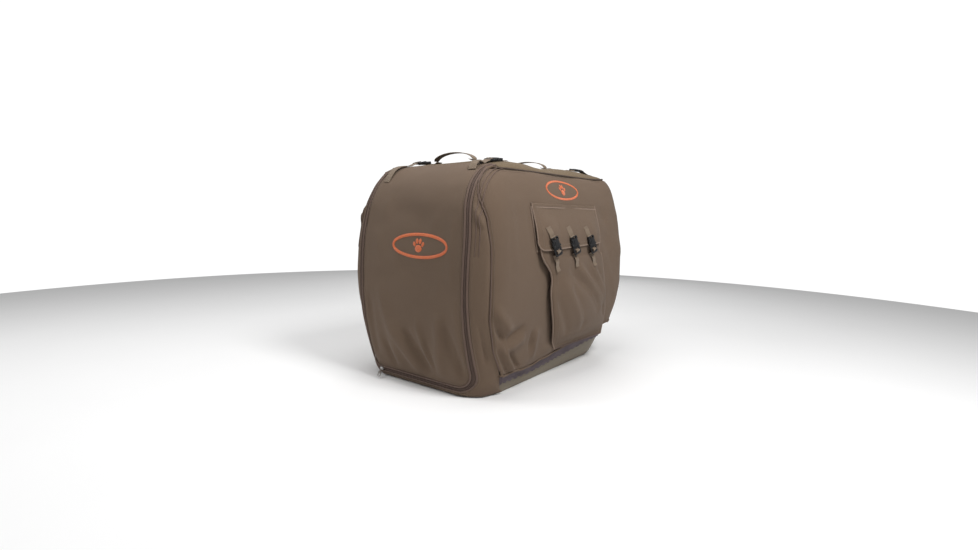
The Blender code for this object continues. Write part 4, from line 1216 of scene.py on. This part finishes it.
def box_stitch(name, place, wide, long, body):
    """Four rows of stitches with a cross, holding a strap end down."""
    corners = [(-wide, -long), (wide, -long), (wide, long), (-wide, long), (-wide, -long), (wide, long)]
    line = []
    for (x0, y0), (x1, y1) in zip(corners[:-1], corners[1:]):
        for t in np.linspace(0, 1, 9):
            line.append(tuple(place @ Vector((x0 + (x1 - x0) * t, y0 + (y1 - y0) * t, 0.0))))
    outward = place.to_3x3() @ Vector((0, 0, 1))
    stitches(name, line, tuple(outward), body, THREAD, 0.0036, 0.0026, 0.0005)


# ---------------------------------------------------------------- gear pocket
POCKET_TOP, POCKET_LOW, FLAP_TOP, FLAP_LOW = 0.478, 0.118, 0.600, 0.457
POCKET_BELLY, POCKET_NECK = 0.037, 0.019
FLAP_NEAR, FLAP_FAR = -0.226, 0.192
BUCKLE_Y, BUCKLE_LEAN = (-0.163, -0.043, 0.077), math.radians(17.0)


def wall_x(z):
    return np.interp(z, COVER_FINE[0], COVER_FINE[1])


def pocket_depth(z):
    t = np.clip((z - POCKET_LOW) / (POCKET_TOP - POCKET_LOW), 0.0, 1.0)
    belly = np.sqrt(np.maximum(1 - (1 - np.minimum(t / 0.45, 1.0)) ** 2, 0.0))
    return 0.0035 + POCKET_BELLY * belly - POCKET_NECK * np.maximum((t - 0.45) / 0.55, 0.0)


def flap_x(z):
    """Outer face of the flap in the middle of its width."""
    mouth = wall_x(POCKET_TOP) + 0.0098 + pocket_depth(POCKET_TOP)
    low = wall_x(FLAP_LOW) + 0.0098 + pocket_depth(FLAP_LOW)
    top = wall_x(FLAP_TOP) + 0.0036
    t = np.clip((FLAP_TOP - z) / (FLAP_TOP - POCKET_TOP), 0.0, 1.0)
    over = top + (mouth - top) * (t * t * (3 - 2 * t)) ** 0.75
    below = low + (mouth - low) * (z - FLAP_LOW) / (POCKET_TOP - FLAP_LOW)
    return np.where(z <= POCKET_TOP, below, over)


def flap_face(y, z):
    """The flap hugs the wall along its two side edges and stands off it over the pocket."""
    edge = np.minimum(y - FLAP_NEAR, FLAP_FAR - y)
    full = 0.36 + 0.64 * np.sin(math.pi / 2 * np.clip(edge / 0.070, 0, 1))
    wall = wall_x(z) + 0.0030
    return wall + (flap_x(z) - wall) * full


def pocket_flap():
    across = np.linspace(0, 1, 84)[None, :]
    down = np.linspace(0, 1, 34)[:, None]
    y = FLAP_NEAR + (FLAP_FAR - FLAP_NEAR) * across
    low = 0.4515 + 0.017 * across
    edge = np.minimum(y - FLAP_NEAR, FLAP_FAR - y)
    corner = 0.024
    low = low + np.where(edge < corner, corner - np.sqrt(np.maximum(corner**2 - (corner - edge) ** 2, 0)), 0)
    z = low + (FLAP_TOP - low) * down
    y = np.broadcast_to(y, z.shape)
    x = flap_face(y, z)
    points = np.stack([x, y, z], axis=-1)
    bend = ease(edge_distance(points), 0.0, 0.03)
    depth = bend * (ridge(points, (0.33, -0.225, 0.52), (0.34, -0.165, 0.50), 0.012, 0.0020)
                    + ridge(points, (0.34, -0.12, 0.475), (0.33, -0.10, 0.58), 0.016, -0.0018)
                    + ridge(points, (0.34, 0.02, 0.475), (0.33, 0.03, 0.58), 0.016, -0.0016)
                    + ridge(points, (0.34, 0.13, 0.47), (0.32, 0.10, 0.58), 0.018, 0.0014))
    points = relax(points, depth)
    keep_tree("pocket_flap", points)
    made = grid_object("pocket_flap_cloth", points, CANVAS, CLOTH)
    finish_piece(made, "pocket_lid", ["pocket_flap"])
    rim = np.concatenate([points[::-1, 0], points[0, 1:], points[1:, -1]])
    normal = normals_of(points)
    lift = np.concatenate([normal[::-1, 0], normal[0, 1:], normal[1:, -1]])
    trim("flap_binding", rim - lift * 0.0009, lift, 0.0026, 0.0022, BINDING_LIGHT, body="pocket_lid")
    inset = points[3:, 4], points[3, 4:-4], points[3:, -5]
    line = np.concatenate([inset[0][::-1], inset[1], inset[2]])
    stitches("flap_stitch", line + np.array([0.0004, 0, 0]), (1, 0, 0), "pocket_lid")
    line = points[-3, 2:-2]
    stitches("flap_top_stitch", line + np.array([0.0004, 0, 0]), (1, 0, 0), "pocket_lid")


# The pocket's sewn edges as they sag: height, then the front and the rear edge
POCKET_SIDES = ((0.100, -0.050, 0.292), (0.124, -0.078, 0.290), (0.185, -0.112, 0.262),
                (0.256, -0.143, 0.238), (0.311, -0.160, 0.220), (0.362, -0.154, 0.206),
                (0.392, -0.172, 0.198), (0.415, -0.203, 0.192), (0.447, -0.214, 0.186),
                (0.476, -0.215, 0.184))


def pocket_side(z, column):
    """The sewn edge at a height, through a smooth curve."""
    knots = np.array([row[0] for row in POCKET_SIDES])
    values = np.array([row[column] for row in POCKET_SIDES])
    total = np.zeros_like(np.asarray(z, float))
    weight = np.zeros_like(total)
    for offset in (-0.014, -0.007, 0.0, 0.007, 0.014):
        total = total + np.interp(z + offset, knots, values)
        weight = weight + 1.0
    return total / weight


# How the pocket's edges turn back to the wall: distance inward and share of the depth
POCKET_RETURN = ((0.016, 0.0), (0.013, 0.25), (0.0105, 0.5), (0.006, 0.78), (0.002, 0.95))
# The pocket's folds
POCKET_FOLDS = (
    ((0.36, -0.075, 0.390), (0.34, 0.165, 0.215), 0.020, -0.0075, 0.3),
    ((0.36, -0.030, 0.400), (0.34, 0.215, 0.235), 0.022, 0.0065, 0.0),
    ((0.36, 0.020, 0.400), (0.33, 0.262, 0.170), 0.017, -0.0060, 0.3),
    ((0.36, 0.075, 0.400), (0.33, 0.262, 0.235), 0.018, 0.0050, 0.0),
    ((0.36, -0.120, 0.360), (0.33, 0.060, 0.175), 0.024, 0.0055, 0.0),
    ((0.36, -0.060, 0.330), (0.33, 0.075, 0.160), 0.015, -0.0050, 0.2),
    ((0.36, -0.140, 0.300), (0.32, -0.020, 0.150), 0.016, -0.0045, 0.2),
    ((0.35, 0.120, 0.390), (0.33, 0.235, 0.270), 0.014, -0.0045, 0.0),
)


def pocket_body():
    rows = 74
    v = np.linspace(0, 1, rows)[:, None]
    z = 0.102 + (0.472 - 0.102) * v
    near, far = pocket_side(z, 1), pocket_side(z, 2)
    depth = pocket_depth(np.maximum(z, POCKET_LOW)) * ease(z, 0.095, 0.150) + 0.0025
    proud = 0.0035 + 0.0105 * ease(z, 0.110, 0.200) * (1 - 0.45 * ease(z, 0.400, 0.450))
    u = np.linspace(0, 1, 66)[None, :]
    dome = np.sin(math.pi * np.clip(u, 0.0, 1.0)) ** 0.55
    front_x = wall_x(z) + 0.0036 + proud + np.maximum(depth - proud, 0.0) * dome
    front_y = near + (far - near) * u
    under_flap = flap_face(front_y, np.maximum(z, FLAP_LOW)) - 0.0052
    front_x = np.where(z > 0.430, np.minimum(front_x, under_flap), front_x)
    wall = wall_x(z)
    left, right = [], []
    for inward, share in POCKET_RETURN:
        x_near = wall + 0.0022 + (front_x[:, :1] - wall - 0.0022) * share
        x_far = wall + 0.0022 + (front_x[:, -1:] - wall - 0.0022) * share
        left.append(np.concatenate([x_near, near + inward, z], 1))
        right.insert(0, np.concatenate([x_far, far - inward, z], 1))
    front = np.stack([front_x, front_y, np.broadcast_to(z, front_x.shape)], axis=-1)
    points = np.concatenate([np.stack(left, 1), front, np.stack(right, 1)], axis=1)
    inner = ease(np.minimum(u, 1 - u) * 0.36, 0.0, 0.030) * ease(z, 0.105, 0.130)
    inner = inner * (1 - ease(z, 0.428, 0.452))
    fold = folded(np.zeros(front_x.shape), front, POCKET_FOLDS)
    lift = np.zeros(points.shape[:2])
    count = len(POCKET_RETURN)
    lift[:, count:-count] = 1.4 * inner * fold
    points = relax(points, lift)
    keep_tree("pocket_body", points)
    made = grid_object("pocket_body_cloth", points, CANVAS, CLOTH)
    finish_piece(made, "cover", ["pocket_body"])
    pocket_edges(points, count)


def pocket_edges(points, count):
    """Bound side edges, the bottom edge, and the rolled mouth. The returns hold count columns each."""
    rows = len(points)
    for label, column in (("front", count), ("rear", -count - 1)):
        line = points[:, column]
        sideways = -0.8 if column > 0 else 0.8
        normal = np.stack([np.ones(rows), np.full(rows, sideways), np.zeros(rows)], axis=-1)
        trim(f"pocket_binding_{label}", line, normal, 0.0030, 0.0026, BINDING_LIGHT)
        inset = points[2:-2, column + (4 if column > 0 else -4)]
        stitches(f"pocket_stitch_{label}", inset + np.array([0.0005, 0, 0]), (1, 0, 0), "cover")
    line = points[0, count:-count]
    trim("pocket_binding_bottom", line, (1, 0, -0.4), 0.0028, 0.0024)
    line = points[-1, count:-count] - np.array([0.0010, 0, 0])
    trim("pocket_mouth", line, (1, 0, 0.6), 0.0026, 0.0022)


def pocket_back():
    """The pocket's own back sheet, which shows as a bound edge in front of the flap."""
    v = np.linspace(0, 1, 16)[:, None]
    u = np.linspace(0, 1, 50)[None, :]
    z = 0.446 + (0.586 - 0.446) * v + 0 * u
    y = (-0.232 + 0.012 * (1 - v)) * (1 - u) + 0.196 * u
    start = np.stack([np.full(z.shape, 0.1), y, z], axis=-1)
    aims = np.broadcast_to((1, 0, 0), (z.size, 3))
    laid, _ = land_line(["right_panel"], start.reshape(-1, 3), aims, 0.0016)
    points = laid.reshape(*z.shape, 3)
    made = grid_object("pocket_back_cloth", points, CANVAS, 0.0012)
    finish_piece(made, "cover")
    line = np.concatenate([points[:, 0], points[-1, 1:]])
    trim("pocket_back_binding", line, (1, -0.3, 0), 0.0030, 0.0026, BINDING_LIGHT)


def buckle_frame(y):
    slope = float((flap_x(np.array(POCKET_TOP)) - flap_x(np.array(FLAP_LOW))) / (POCKET_TOP - FLAP_LOW))
    down = Vector((-slope, math.tan(BUCKLE_LEAN), -1.0))
    spot = Vector((float(flap_x(np.array(FLAP_LOW + 0.004))) + 0.0046, y, FLAP_LOW + 0.004))
    return frame_at(spot, down, (1.0, 0.0, slope))


def pocket_buckles():
    for number, y in enumerate(BUCKLE_Y, 1):
        place = buckle_frame(y)
        turn = place.to_3x3()
        down, outward = turn @ Vector((0, 1, 0)), turn @ Vector((0, 0, 1))
        socket_piece(f"pocket_buckle_socket_{number}", place, "pocket_lid", f"pocket_socket_{number}")
        plug_piece(f"pocket_buckle_plug_{number}", place, f"pocket_clip_{number}", f"pocket_plug_{number}")
        start = place.translation
        # the webbing sewn on the flap, and its short loop through the socket's slot
        line = []
        for back in np.linspace(SOCKET + 0.034, SOCKET + 0.002, 12):
            spot = start - down * back
            line.append(tuple(land(["pocket_flap"], (0.20, spot.y, spot.z), (1, 0, 0), 0.0022)[0]))
        tail = start - down * (SOCKET - 0.0012) + outward * 0.0035
        line += [tuple(tail.lerp(Vector(line[-1]), 0.5) + outward * 0.0006), tuple(tail)]
        strap(f"flap_webbing_{number}", line, tuple(outward), "pocket_lid", f"flap_strap_{number}", 0.0235)
        patch = frame_at(Vector(line[3]) + outward * 0.0012, down, outward)
        box_stitch(f"flap_webbing_stitch_{number}", patch, 0.0090, 0.0075, "pocket_lid")
        # over the ladder bars, then the loose tail that lies down the pocket
        line = [tuple(start + down * ahead + outward * high) for ahead, high in
                ((0.0095, 0.0022), (0.0112, 0.0060), (0.0140, 0.0090), (0.0175, 0.0088), (0.0200, 0.0060))]
        ends = (0.084, 0.074, 0.078)[number - 1]
        for ahead in np.linspace(0.026, ends, 12):
            spot = start + down * ahead
            place_on, _ = land(["pocket_body"], (0.20, spot.y, spot.z), (1, 0, 0), 0.0034)
            swing = 0.004 * (ahead / ends) ** 2 * (1 if number != 2 else -1)
            line.append((place_on.x + 0.0020 * math.sin(ahead * 160), spot.y + swing, spot.z))
        strap(f"pocket_webbing_{number}", line, (1, 0, 0.05), "cover", f"pocket_strap_{number}", 0.0205)


# ---------------------------------------------------------------- roof webbing
HANDLE_SPAN, HANDLE_RISE, HANDLE_FOOT = 0.176, 0.030, 0.0075
HANDLE_Y = {"front": -0.258, "rear": 0.170}
ROLL_X = 0.160
ROLL_Y = {"front": -0.255, "rear": 0.285}


def roof_at(x, y, out=0.0):
    return land(["roof_panel"], (x, y, 0.5), (0, 0, 1), out)


def plain_roof(x, y):
    """The roof's smooth outline, without its cloth's waves."""
    return Vector(shoot((x, y, 0.5), (0, 0, 1)))


def handle(where):
    """A webbing grip that arches between two box-stitched feet."""
    y = HANDLE_Y[where]
    foot = float(shoot((0.0, y, 0.5), (0, 0, 1))[2]) + HANDLE_FOOT
    half = HANDLE_SPAN / 2 - 0.001
    angle = np.linspace(0.0, math.pi, 61)
    lift = (HANDLE_RISE - 0.004) * np.maximum(np.sin(angle), 0.0) ** 0.8
    x = -half * np.cos(angle) * (1 - 0.16 * np.sin(angle))
    line = np.stack([x, np.full(61, y), foot + lift - 0.0008], -1)
    ahead = np.gradient(line, axis=0)
    outward = np.stack([-ahead[:, 2], np.zeros(61), ahead[:, 0]], axis=-1)
    wide = np.minimum(0.0128, 0.0095 + lift * 0.5)
    # the grip's underside is darker webbing, painted shade
    made = sweep(f"{where}_grip_webbing", line, outward, wide, 0.0013, WEB, *FLAT, WEB_PAINTED_SHADE)
    finish_piece(made, f"{where}_grip", [f"{where}_handle"])
    for side, label in ((-1, "left"), (1, "right")):
        laid = []
        for past in np.linspace(-0.016, 0.026, 16):
            spot, _ = roof_at(side * (half + past), y, 0.0012)
            rise = HANDLE_FOOT * ease(-past, 0.002, 0.016)
            laid.append((spot.x, spot.y, spot.z + float(rise) * 0.72))
        node = f"{where}_handle_patch_{label}"
        strap(f"{where}_handle_foot_{label}", laid, (0, 0, 1), "cover", node, 0.0275, 0.0020)
        spot, normal = roof_at(side * (half + 0.013), y, 0.0030)
        place = frame_at(spot, (side, 0, 0), normal)
        box_stitch(f"{where}_foot_stitch_{label}", place, 0.0098, 0.0085, "cover")


# ahead of the buckle and up from it, as the strap passes over the plug's bars
ROLL_LADDER = ((0.0095, 0.0022), (0.0112, 0.0060), (0.0142, 0.0090), (0.0180, 0.0088), (0.0215, 0.0062))


def front_strap(x, side):
    """A front roll-up strap's way down the door, arched away from the cloth and swinging aside."""
    stops = np.radians(np.linspace(76, 47 if side > 0 else 24, 26))
    aims = np.stack([np.zeros(26), -np.cos(stops), np.sin(stops)], axis=-1)
    starts = np.broadcast_to((x, FRONT_CORE, DOOR_BEND), (26, 3))
    laid, normal = land_line(["door_panel"], starts, aims, 0.0018)
    part = np.linspace(0, 1, 26)
    arch = (0.0125 if side > 0 else 0.0060) * np.sin(math.pi * part) ** 1.3
    laid = laid + normal * arch[:, None]
    laid[:, 0] += (0.010 if side > 0 else -0.004) * part**2
    return laid, normal


def rear_strap(x):
    """A rear roll-up strap's way over the roof's rear edge."""
    stops = np.radians(np.linspace(70, 22, 24))
    aims = np.stack([np.zeros(24), np.cos(stops), np.sin(stops)], axis=-1)
    starts = np.broadcast_to((x, 0.31, 0.60), (24, 3))
    laid, normal = land_line(["back_panel", "roof_panel"], starts, aims, 0.0018)
    return laid + normal * (0.004 * np.sin(math.pi * np.linspace(0, 1, 24)))[:, None], normal


def roll_strap(end, side, label):
    """A roll-up strap: its buckle on the roof, an anchor behind it, and a strap over the roof's edge."""
    x, y = side * ROLL_X, ROLL_Y[end]
    ahead = -1 if end == "front" else 1
    centre, before, after = (plain_roof(x, y + step) for step in (0.0, ahead * 0.03, -ahead * 0.03))
    beside = plain_roof(x + 0.01, y) - plain_roof(x - 0.01, y)
    rise = before - after
    outward = rise.cross(beside)
    outward = outward if outward.z > 0 else -outward
    place = frame_at(centre + outward.normalized() * 0.0040, rise, outward)
    socket_piece(f"{end}_buckle_socket_{label}", place, "cover", f"{end}_roll_socket_{label}")
    plug_piece(f"{end}_buckle_plug_{label}", place, f"{end}_roll_clip_{label}", f"{end}_roll_plug_{label}")
    turn = place.to_3x3()
    down, lift = turn @ Vector((0, 1, 0)), turn @ Vector((0, 0, 1))
    start = place.translation
    line = []
    for back in np.linspace(SOCKET + 0.034, SOCKET + 0.003, 10):
        spot = start - down * back
        line.append(tuple(roof_at(spot.x, spot.y, 0.0014)[0]))
    line.append(tuple(start - down * (SOCKET - 0.0014) + lift * 0.0035))
    strap(f"{end}_roll_anchor_{label}", line, tuple(lift), "cover", width=0.0240)
    box_stitch(f"{end}_anchor_stitch_{label}", frame_at(Vector(line[3]) + lift * 0.0012, down, lift),
               0.0088, 0.0078, "cover")
    line = [tuple(start + down * far + lift * high) for far, high in ROLL_LADDER]
    laid, normal = front_strap(x, side) if end == "front" else rear_strap(x)
    whole = np.concatenate([np.array(line), laid])
    lifts = np.concatenate([np.broadcast_to(tuple(lift), (len(line), 3)), normal])
    # the strap's underside is darker webbing, painted shade
    made = sweep(f"{end}_roll_webbing_{label}", whole, lifts, 0.0122, 0.0011, WEB, *FLAT, WEB_PAINTED_SHADE)
    if end == "front":
        settle(made.data)
        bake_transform(made)
        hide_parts(f"{end}_roll_strap_{label}")
    else:
        finish_piece(made, "cover", [f"{end}_roll_strap_{label}"])
    tip, way = Vector(laid[-3]), Vector(normal[-3])
    along = Vector(laid[-1]) - Vector(laid[-6])
    body = "door_flap" if end == "front" else "cover"
    box_stitch(f"{end}_roll_stitch_{label}", frame_at(tip + way * 0.0014, along, way), 0.0088, 0.0050, body)


# ---------------------------------------------------------------- rear window
VENT_HALF, VENT_LOW, VENT_HIGH = 0.150, 0.230, 0.560


def rear_window():
    def rows(low, high, half, out, across, tall):
        x = np.linspace(half, -half, across)[None, :] + np.zeros((tall, 1))
        z = np.linspace(low, high, tall)[:, None] + np.zeros((1, across))
        start = np.stack([x, np.full(x.shape, 0.2), z], axis=-1).reshape(-1, 3)
        laid, _ = land_line(["back_panel"], start, np.broadcast_to((0, 1, 0), start.shape), out)
        return laid.reshape(tall, across, 3)

    behind = rows(VENT_LOW + 0.02, VENT_HIGH - 0.02, VENT_HALF - 0.02, 0.0018, 50, 50)
    net = grid_object("rear_net", behind, NET, 0.0012)
    finish_piece(net, "cover", ["rear_mesh"])
    points = rows(VENT_LOW, VENT_HIGH, VENT_HALF, 0.0062, 60, 66)
    depth = 0.0012 * ripple(points, 31, 0.16) * ease(edge_distance(points), 0, 0.03)
    depth = depth + ridge(points, (0.10, 0.47, 0.30), (0.02, 0.47, 0.24), 0.018, 0.0025)
    points = relax(points, np.maximum(depth, -0.0010))
    made = grid_object("vent_flap_cloth", points, CANVAS, CLOTH)
    finish_piece(made, "rear_flap", ["rear_vent_flap"])
    rim = np.concatenate([points[::-1, 0], points[0, 1:], points[1:, -1]])
    trim("vent_binding", rim, (0, 1, 0), 0.0030, 0.0024, body="rear_flap")
    line = np.concatenate([points[:2:-1, 3], points[3, 4:-4], points[3:, -4]])
    stitches("vent_stitch", line + np.array([0, 0.0004, 0]), (0, 1, 0), "rear_flap")
    stitches("vent_top_stitch", points[-3, 2:-2] + np.array([0, 0.0004, 0]), (0, 1, 0), "rear_flap")


# ---------------------------------------------------------------- zipper slider
SLIDER_X, PULL_AHEAD, PULL_DROP = -0.168, (0.619, -0.785), 0.42


def slider():
    height = DOOR_SILL - ZIP_GAP / 2
    spot = Vector(shoot((SLIDER_X, FRONT_CORE, height), (0, -1, 0)))
    beside = Vector(shoot((SLIDER_X + 0.004, FRONT_CORE, height), (0, -1, 0)))
    across = (beside - spot).normalized()
    outward = across.cross(Vector((0, 0, 1)))
    place = frame_at(spot + outward * 0.0009, across, outward)
    body = mirror_outline([(0.0030, -0.0070), (0.0050, -0.0030), (0.0050, 0.0040), (0.0036, 0.0070)])
    bridge = mirror_outline([(0.0012, -0.0045), (0.0012, 0.0045)])
    hard("slider_body", [([fillet(body, 0.0014)], 0.0, 0.0026, 0.0006),
                         ([fillet(body, 0.0014)], 0.0034, 0.0056, 0.0007),
                         ([fillet(bridge, 0.0006)], 0.0050, 0.0082, 0.0005)],
         place, NICKEL, "slider", ["zipper_slider"])
    pivot = spot + outward * 0.0085
    drop = Vector((*PULL_AHEAD, -PULL_DROP))
    upward = Vector((PULL_AHEAD[0] * PULL_DROP, PULL_AHEAD[1] * PULL_DROP, 1.0))
    neck = mirror_outline([(0.0026, 0.0), (0.0030, 0.0100), (0.0020, 0.0130)])
    turns = np.linspace(0, 2 * math.pi, 17)[:-1]
    eye = [(0.0012 * math.cos(turn), 0.0028 + 0.0016 * math.sin(turn)) for turn in turns]
    tab = mirror_outline([(0.0030, 0.0125), (0.0052, 0.0180), (0.0056, 0.0380), (0.0034, 0.0440)])
    window = mirror_outline([(0.0022, 0.0290), (0.0030, 0.0340), (0.0022, 0.0400)])
    hard("slider_pull", [([fillet(neck, 0.0010), eye], -0.0009, 0.0009, 0.0004),
                         ([fillet(tab, 0.0022), fillet(window, 0.0010)], -0.0013, 0.0013, 0.0006)],
         frame_at(pivot, drop, upward), NICKEL, "pull_tab", ["zipper_pull"])


for which in (1, -1):
    side_panel(which)
    gusset(which)
back_panel()
roof_panel()
door_panel()
zipper()
front_sill()
hem_band()
seams()
corner_pipings()
hem_bindings()
badges()
pocket_back()
pocket_body()
pocket_flap()
pocket_buckles()
for where in ("front", "rear"):
    handle(where)
    for which, label in ((-1, "left"), (1, "right")):
        roll_strap(where, which, label)
rear_window()
slider()

LOOKS = {
    "crate_plastic": SHELL, "black_plastic": BLACK, "nickel": NICKEL, "canvas": CANVAS, "webbing": WEB,
    "vent_mesh": NET, "badge": ORANGE, "zip_tape": TAPE, "elastic": ELASTIC,
}


def dress_nodes():
    """Every CAD node that still shows takes the procedural look of its slot."""
    slots = {row["node"]: row["material_slot"] for row in frame["record"]["subparts"]}
    for name, obj in frame["nodes"].items():
        look = WIRE if name == "crate_door" else LOOKS[slots[name]]
        obj.data.materials.clear()
        obj.data.materials.append(look)


dress_nodes()
